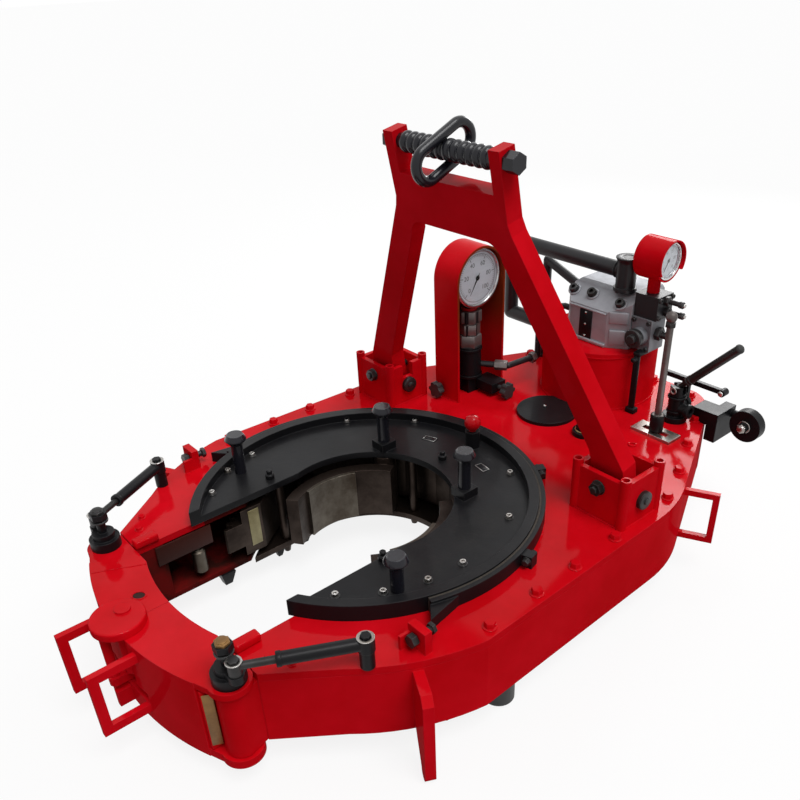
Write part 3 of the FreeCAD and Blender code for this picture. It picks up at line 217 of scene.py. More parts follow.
def coat_group():
    """Brushed or sprayed paint: patches of thickness and a fine uneven skin."""
    tree, given, result = new_group("Sprayed coat", {"Patch size": 6.0, "Skin size": 140.0},
                                    ("Patch", "Height"))
    patch = noise(tree, given["Patch size"], 4.0, 0.6)
    skin = noise(tree, given["Skin size"], 3.0)
    waves = noise(tree, 22.0, 2.0)
    tree.links.new(spread(tree, patch, 0.0, 1.0, 0.36, 0.68), result["Patch"])
    tree.links.new(maths(tree, "ADD", product(tree, skin, 0.35), waves), result["Height"])
    return tree


def grime_group():
    """Dust and grease that settle on upward faces in patches."""
    tree, given, result = new_group("Settled grime", {"Amount": 0.4}, ("Mask",))
    patches = spread(tree, noise(tree, 14.0, 7.0, 0.7), 0.0, 1.0, 0.45, 0.72)
    upward = spread(tree, axes(tree, "Normal")["Z"], 0.15, 1.0, 0.2, 0.9)
    tree.links.new(product(tree, patches, upward, given["Amount"]), result["Mask"])
    return tree


def streak_group():
    """Tool marks and oil streaks that run round or along a machined face."""
    tree, given, result = new_group("Machined streaks", {"Across": 160.0, "Along": 6.0},
                                    ("Streak", "Stain"))
    scale = put(tree, "ShaderNodeCombineXYZ", {0: given["Along"], 1: given["Along"],
                                               2: given["Across"]}).outputs[0]
    stretched = vectors(tree, "MULTIPLY", coords(tree), scale)
    stain = noise(tree, 11.0, 6.0, 0.65)
    tree.links.new(noise(tree, 1.0, 3.0, vector=stretched), result["Streak"])
    tree.links.new(spread(tree, stain, 0.0, 1.0, 0.35, 0.66), result["Stain"])
    return tree


def top_gloss_group():
    """Gloss of the paint: full on upward faces, which are wiped, and little on the sides."""
    tree, given, result = new_group("Wiped top", {"Gloss": 0.15}, ("Coat",))
    upward = spread(tree, axes(tree, "Normal")["Z"], 0.08, 1.0, 0.5, 0.95)
    wiped = spread(tree, noise(tree, 5.0, 3.0), 0.6, 1.0, 0.35, 0.65)
    tree.links.new(product(tree, upward, wiped, given["Gloss"]), result["Coat"])
    return tree


def inside_group():
    """Mask of the faces inside the front horns and round the bore: painted shade where little light
    gets in, and oil that is never wiped clean.
    """
    tree, given, result = new_group("Oily shaded inside", {"Reach": 0.515}, ("Mask",))
    plate_under, plate_top, floor_level = 0.2113, 0.2265, 0.1
    bore_front, throat_front, bore_reach = -0.1, -0.285, 0.36
    flat = vectors(tree, "MULTIPLY", coords(tree), (1, 1, 0))
    reach = vectors(tree, "LENGTH", flat)
    outward = vectors(tree, "DOT_PRODUCT", flat, coords(tree, "Normal"))
    place = axes(tree)
    wall = below(tree, outward, -0.03)
    ground = product(tree, above(tree, axes(tree, "Normal")["Z"], 0.5),
                     below(tree, place["Z"], floor_level))
    horns = product(tree, maths(tree, "MAXIMUM", wall, ground), below(tree, reach, given["Reach"]),
                    below(tree, place["Y"], bore_front), below(tree, place["Z"], plate_under))
    rim = product(tree, below(tree, place["Z"], plate_top), above(tree, place["Y"], throat_front),
                  below(tree, reach, bore_reach))
    stains = spread(tree, noise(tree, 16.0, 5.0), 0.8, 1.0, 0.35, 0.6)
    tree.links.new(product(tree, maths(tree, "MAXIMUM", horns, rim), stains), result["Mask"])
    return tree


GROUP_MAKERS = {"Oily shaded inside": inside_group, "Wiped top": top_gloss_group,
                "Soft edge": soft_edge_group, "Sprayed coat": coat_group,
                "Settled grime": grime_group, "Machined streaks": streak_group}


def group(tree, name, inputs=None):
    """Outputs of one of the shared groups, which is built at its first use."""
    made = bpy.data.node_groups.get(name) or GROUP_MAKERS[name]()
    return put(tree, "ShaderNodeGroup", inputs, node_tree=made).outputs


def soft_edge(tree, factor=1.0):
    return group(tree, "Soft edge", {"Radius": finish_values().edge * factor})


# Finishes
def bare_tree(owner):
    owner.use_nodes = True
    owner.node_tree.nodes.clear()
    return owner.node_tree


def new_material(name):
    material = bpy.data.materials.new(name)
    tree = bare_tree(material)
    out = tree.nodes.new("ShaderNodeOutputMaterial")
    shader = tree.nodes.new("ShaderNodeBsdfPrincipled")
    tree.links.new(shader.outputs[0], out.inputs[0])
    return material, tree, shader


def finish_surface(tree, shader, colour, roughness, height, distance, normal):
    bump = put(tree, "ShaderNodeBump", {"Height": height, "Normal": normal, "Distance": distance})
    tree.links.new(colour, shader.inputs["Base Color"])
    tree.links.new(roughness, shader.inputs["Roughness"])
    tree.links.new(bump.outputs[0], shader.inputs["Normal"])


def wiped_coat(tree, shader, gloss):
    tree.links.new(group(tree, "Wiped top", {"Gloss": gloss})["Coat"], shader.inputs["Coat Weight"])


def enamel(name, colour, deep, edge_highlight, rough, grime_tint, grime, coat, gloss, inside=None):
    """Glossy paint that pools and holds a little grime, with a painted highlight that lightens its
    edges.
    """
    material, tree, shader = new_material(name)
    edge = soft_edge(tree)
    paint = group(tree, "Sprayed coat")
    dirt = group(tree, "Settled grime", {"Amount": grime})
    tint = blend_colour(tree, paint["Patch"], deep, colour)
    # painted highlight: the edges are blended a little towards a lighter tint
    tint = blend_colour(tree, product(tree, edge["Edge"], 0.3), tint, edge_highlight)
    tint = blend_colour(tree, dirt["Mask"], tint, grime_tint)
    if inside:
        # painted shade and oil: faces inside the horns and round the bore turn dark brown
        tint = blend_colour(tree, group(tree, "Oily shaded inside")["Mask"], tint, inside)
    roughness = maths(tree, "ADD", spread(tree, paint["Patch"], rough + 0.06, rough - 0.04),
                      product(tree, dirt["Mask"], 0.3), clamp=True)
    finish_surface(tree, shader, tint, roughness, paint["Height"], 0.0005, edge["Normal"])
    shader.inputs["Specular IOR Level"].default_value = gloss
    shader.inputs["Coat Roughness"].default_value = 0.1
    if coat:
        wiped_coat(tree, shader, coat)
    return material


def steel(name, colour, stain, rough, metal=0.85, distance=0.0003):
    """Machined or forged steel with tool marks and brown oil stains."""
    material, tree, shader = new_material(name)
    edge = soft_edge(tree, 0.6)
    marks = group(tree, "Machined streaks")
    tint = blend_colour(tree, marks["Stain"], stain, colour)
    # painted highlight: the edges are blended towards a copy of the colour 2.2 times lighter
    tint = blend_colour(tree, product(tree, edge["Edge"], 0.5), tint, shaded(colour, 2.2))
    roughness = spread(tree, marks["Stain"], rough + 0.12, rough - 0.06)
    finish_surface(tree, shader, tint, roughness, marks["Streak"], distance, edge["Normal"])
    shader.inputs["Metallic"].default_value = metal
    return material


def rubber(name, colour):
    """Moulded rubber or plastic with a fine grain."""
    material, tree, shader = new_material(name)
    skin = group(tree, "Sprayed coat", {"Patch size": 18.0, "Skin size": 700.0})
    tint = blend_colour(tree, skin["Patch"], shaded(colour, 0.7), shaded(colour, 1.8))
    finish_surface(tree, shader, tint, spread(tree, skin["Patch"], 0.62, 0.5), skin["Height"],
                   0.0004, soft_edge(tree)["Normal"])
    return material


def cast_skin(tree):
    return group(tree, "Sprayed coat", {"Patch size": 9.0, "Skin size": 420.0})


def casting_finish(name):
    """Sand-cast aluminium with a pebbled skin."""
    colour = finish_values().casting
    material, tree, shader = new_material(name)
    edge = soft_edge(tree, 1.6)
    skin = cast_skin(tree)
    dirt = group(tree, "Settled grime", {"Amount": 0.25})
    tint = blend_colour(tree, skin["Patch"], shaded(colour, 0.75), shaded(colour, 1.15))
    # painted highlight: the edges are blended towards light grey
    tint = blend_colour(tree, product(tree, edge["Edge"], 0.4), tint, (0.62, 0.63, 0.65))
    tint = blend_colour(tree, dirt["Mask"], tint, (0.08, 0.075, 0.07))
    finish_surface(tree, shader, tint, spread(tree, skin["Patch"], 0.55, 0.4), skin["Height"],
                   0.0008, edge["Normal"])
    shader.inputs["Metallic"].default_value = 0.35
    return material


def valve_finish(name):
    """Valve block: bare casting below, black paint on the upper block."""
    material, tree, shader = new_material(name)
    upper_block = 0.4672
    skin = cast_skin(tree)
    painted = above(tree, axes(tree)["Z"], upper_block)
    bare = blend_colour(tree, skin["Patch"], (0.13, 0.135, 0.15), (0.27, 0.28, 0.30))
    tint = blend_colour(tree, painted, bare, (0.014, 0.014, 0.016))
    finish_surface(tree, shader, tint, spread(tree, painted, 0.5, 0.38), skin["Height"], 0.0006,
                   soft_edge(tree)["Normal"])
    tree.links.new(spread(tree, painted, 0.3, 0.0), shader.inputs["Metallic"])
    shader.inputs["Specular IOR Level"].default_value = 0.3
    return material


def shroud_finish(name):
    """Red enamel outside; a dark brown on the faces turned in towards the gauge's axis, more of it
    higher up.
    """
    material, tree, shader = new_material(name)
    values = finish_values()
    paint = group(tree, "Sprayed coat")
    _, y, z = TORQUE_GAUGE
    from_axis = vectors(tree, "SUBTRACT", coords(tree), (0, y * MM, z * MM))
    outward = vectors(tree, "DOT_PRODUCT", from_axis, coords(tree, "Normal"))
    # faces turned in towards the gauge's axis are blended towards dark brown, more of them higher up
    turned_in_brown = product(tree, below(tree, outward, -0.02),
                     spread(tree, axes(tree)["Z"], 0.0, 1.0, 0.33, 0.46), 0.85)
    tint = blend_colour(tree, paint["Patch"], values.red_deep, values.red)
    tint = blend_colour(tree, turned_in_brown, tint, (0.16, 0.035, 0.008))
    finish_surface(tree, shader, tint, spread(tree, paint["Patch"], 0.36, 0.26), paint["Height"],
                   0.0005, soft_edge(tree)["Normal"])
    shader.inputs["Specular IOR Level"].default_value = 0.03
    wiped_coat(tree, shader, 0.12)
    return material


def lining_finish(name):
    """Woven friction lining."""
    material, tree, shader = new_material(name)
    cells = put(tree, "ShaderNodeTexVoronoi", {"Vector": coords(tree), "Scale": 420.0})
    weave = cells.outputs["Distance"]
    tint = blend_colour(tree, spread(tree, weave, 0.0, 1.0, 0.1, 0.7), (0.02, 0.017, 0.014),
                        (0.06, 0.048, 0.036))
    plain = put(tree, "ShaderNodeNewGeometry").outputs["Normal"]
    finish_surface(tree, shader, tint, spread(tree, weave, 0.9, 0.7), weave, 0.0004, plain)
    return material


def glass_finish(name):
    """Gauge glass with faint smears."""
    material, tree, shader = new_material(name)
    tree.links.new(spread(tree, noise(tree, 60.0, 4.0), 0.02, 0.12), shader.inputs["Roughness"])
    shader.inputs["Base Color"].default_value = (1, 1, 1, 1)
    shader.inputs["Transmission Weight"].default_value = 1.0
    shader.inputs["IOR"].default_value = 1.45
    return material


def card_finish(name):
    """Silver-white dial card with a faint brushed grain."""
    material, tree, shader = new_material(name)
    marks = group(tree, "Machined streaks", {"Across": 900.0, "Along": 30.0})
    tint = blend_colour(tree, marks["Streak"], (0.52, 0.56, 0.61), (0.69, 0.73, 0.79))
    tree.links.new(tint, shader.inputs["Base Color"])
    tree.links.new(spread(tree, marks["Streak"], 0.5, 0.35), shader.inputs["Roughness"])
    return material


def enamels():
    """What sets the painted finishes apart."""
    values = finish_values()
    soot = (0.03, 0.028, 0.026)
    # each enamel's edge tint is the lighter colour of its painted highlight along the edges
    return {
        "Red enamel": dict(
            colour=values.red, deep=values.red_deep, edge_highlight=(0.85, 0.03, 0.05), rough=0.26,
            grime_tint=(0.24, 0.004, 0.006), grime=0.12, coat=0.32, gloss=0.0,
            # dark brown of the painted shade and oil inside the horns and round the bore
            inside=(0.035, 0.009, 0.007)),
        "Black enamel": dict(
            colour=values.black, deep=(0.005, 0.005, 0.006), edge_highlight=(0.06, 0.06, 0.065), rough=0.36,
            grime_tint=soot, grime=0.25, coat=0.1, gloss=0.14),
        "Polished black": dict(
            colour=(0.012, 0.012, 0.018), deep=(0.008, 0.008, 0.011), edge_highlight=(0.16, 0.16, 0.18),
            rough=0.22, grime_tint=soot, grime=0.15, coat=0.55, gloss=0.3),
        # dark brown of painted shade in the sight recess, and of painted shade with oil on the throat
        # walls
        "Brown primer": dict(
            colour=(0.055, 0.014, 0.01), deep=(0.03, 0.008, 0.006), edge_highlight=(0.09, 0.03, 0.02),
            rough=0.42, grime_tint=(0.02, 0.012, 0.01), grime=0.4, coat=0.1, gloss=0.1),
        "Pipe enamel": dict(
            colour=(0.02, 0.02, 0.023), deep=(0.012, 0.012, 0.013), edge_highlight=(0.07, 0.07, 0.075),
            rough=0.34, grime_tint=(0.05, 0.045, 0.04), grime=0.2, coat=0.0, gloss=0.3),
        "Red knob": dict(
            colour=(0.7, 0.006, 0.012), deep=(0.5, 0.002, 0.006), edge_highlight=(0.9, 0.1, 0.1),
            rough=0.12, grime_tint=(0.2, 0.02, 0.02), grime=0.05, coat=0.5, gloss=0.08),
        "Needle lacquer": dict(
            colour=(0.01, 0.01, 0.01), deep=(0.006, 0.006, 0.006), edge_highlight=(0.03, 0.03, 0.03),
            rough=0.4, grime_tint=(0.02, 0.02, 0.02), grime=0.0, coat=0.0, gloss=0.2),
    }


def steels():
    """What sets the metal finishes apart."""
    return {
        "Oiled steel": dict(colour=finish_values().oil, stain=(0.018, 0.011, 0.008), rough=0.42),
        "Ground steel": dict(colour=(0.12, 0.105, 0.085), stain=(0.045, 0.032, 0.022), rough=0.36),
        "Bright steel": dict(colour=(0.56, 0.55, 0.53), stain=(0.26, 0.23, 0.2), rough=0.28,
                             metal=1.0, distance=0.0001),
        "Dull fitting": dict(colour=(0.21, 0.19, 0.185), stain=(0.10, 0.085, 0.08), rough=0.4,
                             metal=0.6),
        "Dark bolt": dict(colour=(0.05, 0.05, 0.052), stain=(0.02, 0.018, 0.016), rough=0.4,
                          metal=0.7),
        "Yellow zinc": dict(colour=(0.55, 0.42, 0.2), stain=(0.25, 0.17, 0.08), rough=0.34,
                            metal=1.0, distance=0.0001),
        "Aged bronze": dict(colour=(0.36, 0.32, 0.17), stain=(0.15, 0.12, 0.05), rough=0.5,
                            metal=0.3),
        "Worn brass": dict(colour=(0.30, 0.165, 0.05), stain=(0.12, 0.055, 0.02), rough=0.42,
                           metal=0.5),
        "Bearing bronze": dict(colour=(0.58, 0.36, 0.14), stain=(0.24, 0.12, 0.04), rough=0.35,
                               metal=1.0),
        "Polished bezel": dict(colour=(0.7, 0.7, 0.71), stain=(0.5, 0.5, 0.5), rough=0.14,
                               metal=1.0, distance=0.00003),
    }


def rubbers():
    return {"Moulded rubber": dict(colour=(0.012, 0.012, 0.012)),
            "Knob plastic": dict(colour=(0.02, 0.02, 0.021))}


SINGLE_FINISHES = {"Valve casting": valve_finish, "Shroud enamel": shroud_finish,
                   "Cast aluminium": casting_finish, "Friction lining": lining_finish,
                   "Gauge glass": glass_finish, "Dial card": card_finish}


def make_finish(name):
    for maker, kinds in ((enamel, enamels()), (steel, steels()), (rubber, rubbers())):
        if name in kinds:
            return maker(name, **kinds[name])
    return SINGLE_FINISHES[name](name)


def finish(name):
    return bpy.data.materials.get(name) or make_finish(name)


NODE_FINISH = {
    "Red enamel": ("case_shell top_plate door_left door_right lifting_frame lift_brackets motor_drum "
                   "small_gauge_guard door_latch"),
    "Black enamel": ("cage_dish brake_band strut_posts strut_tube_left strut_tube_right "
                     "door_crank_left door_crank_right gauge_manifold "
                     "control_valve tail_fork tail_roller shaft_covers"),
    "Polished black": "cage_pins level_screw lifting_link",
    "Pipe enamel": "hydraulic_pipes",
    "Red knob": "reverse_knob",
    "Knob plastic": "needle_valve_left needle_valve_right",
    "Oiled steel": ("ring_gear rotary_idler_left rotary_idler_right pair_idler_left pair_idler_right "
                    "drive_shaft motor_pinion idler_shafts cage_under_plate cage_spacers jaw_left "
                    "jaw_right"),
    "Ground steel": "jaw_roller_left jaw_roller_right jaw_die_left jaw_die_right",
    "Dark bolt": "pins_and_bolts control_lever strut_rod_left strut_rod_right",
    "Bright steel": "shift_gate",
    "Dull fitting": "shift_lever",
    "Valve casting": "relief_valve",
    "Shroud enamel": "gauge_shroud",
    "Bearing bronze": "bronze_bearings",
    "Friction lining": "band_lining",
    "Cast aluminium": "motor_block",
    "Polished bezel": "gauge_cases",
    "Gauge glass": "gauge_glasses",
    "Needle lacquer": "torque_needle pressure_needle",
    "Moulded rubber": "rubber_feet",
}

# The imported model's material slot that a small piece of each finish belongs to
SLOTS = {
    "Red enamel": "red_paint", "Red knob": "red_paint", "Brown primer": "red_paint",
    "Black enamel": "black_paint", "Polished black": "black_paint", "Pipe enamel": "black_paint",
    "Dark bolt": "black_paint", "Bright steel": "bright_steel", "Dull fitting": "bright_steel",
    "Ground steel": "oiled_steel", "Worn brass": "bronze", "Aged bronze": "bronze",
    "Yellow zinc": "bronze", "Cast aluminium": "cast_aluminium", "Polished bezel": "gauge_case",
    "Dial card": "gauge_case", "Needle lacquer": "needle_black", "Moulded rubber": "foot_rubber",
}


# Modelling by hand tools, in millimetres
TURN = {"Z": Euler((0, 0, 0)), "X": Euler((0, math.pi / 2, 0)), "Y": Euler((-math.pi / 2, 0, 0)),
        "-X": Euler((0, -math.pi / 2, 0)), "-Y": Euler((math.pi / 2, 0, 0))}
SMOOTH_ANGLE = math.radians(35)


def mm(*values):
    return tuple(value * MM for value in values)


def clear_selection():
    if bpy.context.object and bpy.context.object.mode != "OBJECT":
        bpy.ops.object.mode_set(mode="OBJECT")
    bpy.ops.object.select_all(action="DESELECT")


def current(item):
    clear_selection()
    item.select_set(True)
    bpy.context.view_layer.objects.active = item


def edit_all():
    bpy.ops.object.mode_set(mode="EDIT")
    bpy.ops.mesh.select_all(action="SELECT")


def leave_edit(item):
    bpy.ops.object.mode_set(mode="OBJECT")
    return item


def closed(item):
    """Turns the normals outward and leaves edit mode."""
    bpy.ops.mesh.select_all(action="SELECT")
    bpy.ops.mesh.normals_make_consistent(inside=False)
    return leave_edit(item)


def settle(item):
    """Applies the object's place to its mesh, so that the object sits at the origin."""
    current(item)
    bpy.ops.object.transform_apply(location=True, rotation=True, scale=True)
    return item


def turned(sides, radius, steps):
    """A round piece along +Z: a disc is extruded by each (rise, new radius) in turn."""
    clear_selection()
    bpy.ops.mesh.primitive_circle_add(vertices=sides, radius=radius * MM, fill_type="NGON")
    item = bpy.context.object
    edit_all()
    height, now = 0.0, radius
    for rise, wide in steps:
        bpy.ops.mesh.extrude_region_move(TRANSFORM_OT_translate={"value": mm(0, 0, rise)})
        height += rise
        bpy.ops.transform.resize(value=(wide / now, wide / now, 1), center_override=mm(0, 0, height))
        now = wide
    return closed(item)


def box(size, radius=0.0, segments=2):
    """A block on the XY plane with its edges rounded off."""
    clear_selection()
    bpy.ops.mesh.primitive_cube_add(size=1, location=mm(0, 0, size[2] / 2))
    item = bpy.context.object
    item.scale = mm(*size)
    settle(item)
    if radius:
        edit_all()
        bpy.ops.mesh.bevel(offset=radius * MM, segments=segments, affect="EDGES")
        leave_edit(item)
    return item


def ring(inner, outer, height, soft=0.0, steps=32):
    """A flat ring: its section is drawn at one side and spun round +Z."""
    clear_selection()
    bpy.ops.mesh.primitive_plane_add(size=1, location=mm((inner + outer) / 2, 0, height / 2),
                                     rotation=(math.pi / 2, 0, 0))
    item = bpy.context.object
    item.scale = (*mm(outer - inner, height), 1)
    settle(item)
    edit_all()
    if soft:
        bpy.ops.mesh.bevel(offset=soft * MM, segments=2, affect="VERTICES")
    bpy.ops.mesh.delete(type="ONLY_FACE")
    bpy.ops.mesh.select_all(action="SELECT")
    bpy.ops.mesh.spin(steps=steps, angle=2 * math.pi, center=(0, 0, 0), axis=(0, 0, 1))
    bpy.ops.mesh.select_all(action="SELECT")
    bpy.ops.mesh.remove_doubles(threshold=1e-6)
    return closed(item)


def put_at(item, place, axis="Z", spin=0.0):
    """Turns a piece from +Z to its axis, spins it about itself and moves it to its place."""
    turn = TURN[axis] if isinstance(axis, str) else Vector((0, 0, 1)).rotation_difference(
        Vector(axis)).to_euler()
    item.matrix_world = Matrix.Translation(mm(*place)) @ turn.to_matrix().to_4x4() @ Matrix.Rotation(
        math.radians(spin), 4, "Z")
    return settle(item)


def twin_of(item):
    """A copy with a mesh of its own."""
    twin = item.copy()
    twin.data = item.data.copy()
    bpy.context.collection.objects.link(twin)
    return twin


def joined(items):
    clear_selection()
    for item in items:
        item.select_set(True)
    bpy.context.view_layer.objects.active = items[0]
    if len(items) > 1:
        bpy.ops.object.join()
    return bpy.context.view_layer.objects.active


def assembled(*parts):
    """Shapes, each with its place, axis and spin, in one piece."""
    return joined([put_at(*part) for part in parts])


def copies(item, places, axis="Z", spin=0.0, step=0.0):
    """The piece repeated at each place, each spun a step further, and joined in one."""
    made = [put_at(twin_of(item), place, axis, spin + step * k) for k, place in enumerate(places)]
    bpy.data.objects.remove(item)
    return joined(made)


def dress(item, name, material="Red enamel", body="tong", slot=None):
    """Names a finished piece, gives it its finish and lets it ride on its body."""
    current(item)
    bpy.ops.object.shade_smooth_by_angle(angle=SMOOTH_ANGLE)
    item.name = name
    item.data.name = name
    item.data.materials.clear()
    item.data.materials.append(finish(material))
    slot = slot or SLOTS[material]
    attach(item, body)


def both(places):
    """The places and their mirror images at the other side."""
    return list(places) + [(-x, *rest) for x, *rest in places]


def at_level(z, places):
    return [(x, y, z) for x, y in places]


def beside(side, place, z):
    """A place of the right side at a level, or its mirror image at the left side."""
    return (side * place[0], place[1], z)


# Fasteners and beads
def hex_head(across, height):
    """Hexagon head with chamfered corners on a washer."""
    r = across / math.sqrt(3)
    wide = r * 1.25
    head = turned(6, r, [(height * 0.85, r), (height * 0.15, r * 0.88)])
    base = turned(24, wide, [(height * 0.18, wide), (height * 0.04, wide * 0.95)])
    return joined([base, put_at(head, (0, 0, height * 0.2))])


def socket_head(radius, height):
    """Round screw head with a hexagon socket."""
    return turned(24, radius, [(height * 0.85, radius), (height * 0.15, radius * 0.9),
                               (0, radius * 0.5), (-height * 0.6, radius * 0.46)])


def stud(sides, radius, height, slope, tip):
    """A straight end, round or hexagonal, that slopes in to its tip."""
    return turned(sides, radius, [(height, radius), (slope, tip)])


def dome_nut(across, height):
    """Hexagon nut with a round end."""
    r = across / math.sqrt(3)
    nut = turned(6, r, [(height * 0.5, r), (height * 0.08, r * 0.87)])
    cap = turned(20, r * 0.72, [(height * 0.28, r * 0.72), (height * 0.1, r * 0.55),
                                (height * 0.06, r * 0.25)])
    return joined([nut, put_at(cap, (0, 0, height * 0.56))])


def bead(long, radius):
    """A straight weld bead along +X, thinner at its ends."""
    item = box((long, radius * 2, radius * 1.4), radius * 0.55)
    edit_all()
    bpy.ops.mesh.select_all(action="DESELECT")
    leave_edit(item)
    for corner in item.data.vertices:
        corner.select = abs(corner.co.x) > (long / 2 - radius) * MM
    bpy.ops.object.mode_set(mode="EDIT")
    bpy.ops.transform.resize(value=(1, 0.6, 0.6), center_override=(0, 0, 0))
    return leave_edit(item)


def oval(item):
    item.scale = (1.0, 0.8, 1.0)
    return settle(item)


# Operators
class TONG_OT_finishes(bpy.types.Operator):
    """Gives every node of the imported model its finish"""
    bl_idname = "tong.finishes"
    bl_label = "Finishes"

    def execute(self, context):
        for material, names in NODE_FINISH.items():
            for name in names.split():
                data = NODES[name].data
                data.materials.clear()
                data.materials.append(finish(material))
        return {"FINISHED"}


class TONG_OT_plate_bolts(bpy.types.Operator):
    """Painted hexagon bolts round the edge of the top plate and under the floor"""
    bl_idname = "tong.plate_bolts"
    bl_label = "Plate bolts"

    def execute(self, context):
        edge = [(191, 913), (272, 812), (326, 700), (381, 586), (424, 481), (438, 286), (442, 160),
                (444, 50), (448, -75), (70, 925)]
        horns = [(286, -379), (250, -402)]
        under = [(368, -270), (432, -170), (430, 100), (420, 330), (300, 720)]
        head = hex_head(size_values().plate_bolt / MM, 11)
        dress(copies(head, at_level(PLATE_TOP, both(edge)), step=17), "plate_bolts")
        dress(copies(hex_head(12, 6), at_level(PLATE_TOP, both(horns))), "horn_screws")
        low = copies(hex_head(18, 8), at_level(FLOOR_UNDER, both(under)), (0, 0, -1), step=11)
        dress(low, "floor_bolts")
        return {"FINISHED"}


class TONG_OT_case_details(bpy.types.Operator):
    """Stop blocks of the doors and weld beads on the case"""
    bl_idname = "tong.case_details"
    bl_label = "Case details"

    def execute(self, context):
        dress(copies(box((22, 50, 17), 4, 3), both([(196, -412, PLATE_TOP)])), "door_stops")
        dress(assembled((ring(145.5, 148.8, 5, 1.5, 64), (*DRUM, WELD_LEVEL)),
                        (ring(145.5, 148, 4, 1.5, 64), (*DRUM, 366))), "drum_beads")
        x, y = BRACKET
        front_and_rear = at_level(WELD_LEVEL, [(x, y - 62), (x, y + 62)])
        inner_and_outer = at_level(WELD_LEVEL, [(x - 67, y), (x + 67, y)])
        shroud_feet = at_level(WELD_LEVEL, [(-243, COLUMN[1] - 83), (-243, COLUMN[1] + 83)])
        welds = [copies(bead(128, 3.5), both(front_and_rear)),
                 copies(bead(118, 3.5), both(inner_and_outer), spin=90),
                 copies(bead(83, 3), shroud_feet)]
        dress(joined(welds), "weld_beads")
        return {"FINISHED"}


class TONG_OT_doors(bpy.types.Operator):
    """Nuts, rings and wear strips of the doors, their cranks and their struts"""
    bl_idname = "tong.doors"
    bl_label = "Doors and struts"

    def execute(self, context):
        rod_run = Vector((ROD_EYE[0] - STRUT_POST[0], ROD_EYE[1] - STRUT_POST[1], 0)).normalized()
        barrel_level, barrel_length = 277, 137
        filler_place, strip_place, strip_turn = (217.8, -511.5), (225.5, -511.5), 62
        for name, side in SIDES:
            gate, barrel = f"gate_{name}", f"strut_barrel_{name}"
            run = Vector((side * rod_run.x, rod_run.y, 0))
            mouth = Vector(beside(side, STRUT_POST, barrel_level)) + run * barrel_length
            dress(put_at(dome_nut(24, 9), beside(side, CRANK, 307), "Z", 12), f"crank_nut_{name}",
                  "Worn brass" if side > 0 else "Dark bolt", gate, "bright_steel")
            dress(put_at(ring(9.5, 17, 5, 1.5), beside(side, CRANK, 286)), f"crank_washer_{name}",
                  "Dark bolt", gate, "bright_steel")
            dress(put_at(ring(10.1, 14.2, 1.6, 0.6), beside(side, ROD_EYE, 287)), f"rod_ring_{name}",
                  "Bright steel", f"strut_stem_{name}")
            dress(put_at(ring(9.6, 15.5, 1.6, 0.6), beside(side, STRUT_POST, 290)),
                  f"barrel_ring_{name}", "Bright steel", barrel)
            dress(put_at(ring(7.4, 13.5, 9, 1.5), mouth, run), f"strut_gland_{name}", "Black enamel",
                  barrel)
            dress(put_at(box((9, 19, 141), 2, 3), beside(side, filler_place, 66.8)),
                  f"hinge_filler_{name}", body=gate)
            strip = put_at(box((20, 1.6, 122), 0.5), beside(side, strip_place, 78), "Z",
                           side * strip_turn)
            dress(strip, f"wear_strip_{name}", "Worn brass", gate)
        sight_turn = 40
        cup = oval(turned(36, 15, [(1.2, 15), (0.4, 14.3), (0, 12.2), (-1.2, 11.8)]))
        dress(put_at(cup, (*SIGHT, PLATE_TOP), "Z", sight_turn), "sight_cup", body="gate_left")
        # a dark disc paints the shade at the bottom of the shallow sight recess
        hole = oval(turned(28, 11.6, [(0.3, 11.2)]))
        dress(put_at(hole, (*SIGHT, PLATE_TOP + 0.35), "Z", sight_turn), "sight_recess_shade",
              "Brown primer", "gate_left")
        dress(put_at(bead(105, 1.8), (-156, -488, 226.6), "Z", 63), "door_seam", body="gate_left")
        return {"FINISHED"}


class TONG_OT_dish(bpy.types.Operator):
    """Screws, studs, pin heads and blank plates on the rotating dish"""
    bl_idname = "tong.dish"
    bl_label = "Dish"

    def execute(self, context):
        edge = [(-241, -234), (-297, -163), (-320, -86), (-297, 172), (-180, 293), (146, 290),
                (260, 168), (304, -3), (296, -84), (266, -166), (213, -235)]
        holes = at_level(DISH_TOP, edge)
        dress(copies(socket_head(size_values().dish_screw / MM, 8), holes, step=9), "dish_screws",
              "Bright steel", "cage")
        dress(copies(ring(6.4, 9.5, 1.5, 0.5, 20), holes, step=9), "dish_washers", "Dark bolt", "cage")
        post = turned(20, 10, [(9, 10), (2, 8), (0, 6.5), (8, 6.5), (1.5, 5)])
        dress(copies(post, at_level(DISH_TOP, [(-209, -107), (-4, 225), (190, -105)])), "dish_studs",
              "Black enamel", "cage")
        cap = turned(48, 14.6, [(11.5, 23.7), (2, 23.7), (10.8, 17.8), (0, 15.5), (-1, 14.5)])
        pins = [(136, 161, 328), (-136, 161, 328), (276.9, -141.1, 298), (-276.9, -141.1, 316)]
        dress(copies(cap, pins), "pin_heads", "Polished black", "cage")
        for name, x, y, turn in (("left", -91, 264, 20), ("right", 86, 263, -8)):
            self.blank_plate(name, x, y, turn)
        return {"FINISHED"}

    def blank_plate(self, name, x, y, turn, wide=34, deep=19):
        plate = put_at(box((wide, deep, 1.0), 0.3), (x, y, DISH_TOP), "Z", turn)
        dress(plate, f"blank_plate_{name}", "Black enamel", "cage")
        across, along = wide / 2 - 1.8, deep / 2 - 1.3  # border's lines from the plate's middle
        bars = [put_at(box((wide - 3, 1.1, 0.5), 0.15), (0, way * along, 0)) for way in (1, -1)]
        bars += [put_at(box((deep - 4, 1.1, 0.5), 0.15), (way * across, 0, 0), "Z", 90)
                 for way in (1, -1)]
        border = put_at(joined(bars), (x, y, DISH_TOP + 1), "Z", turn)
        dress(border, f"blank_border_{name}", "Bright steel", "cage")


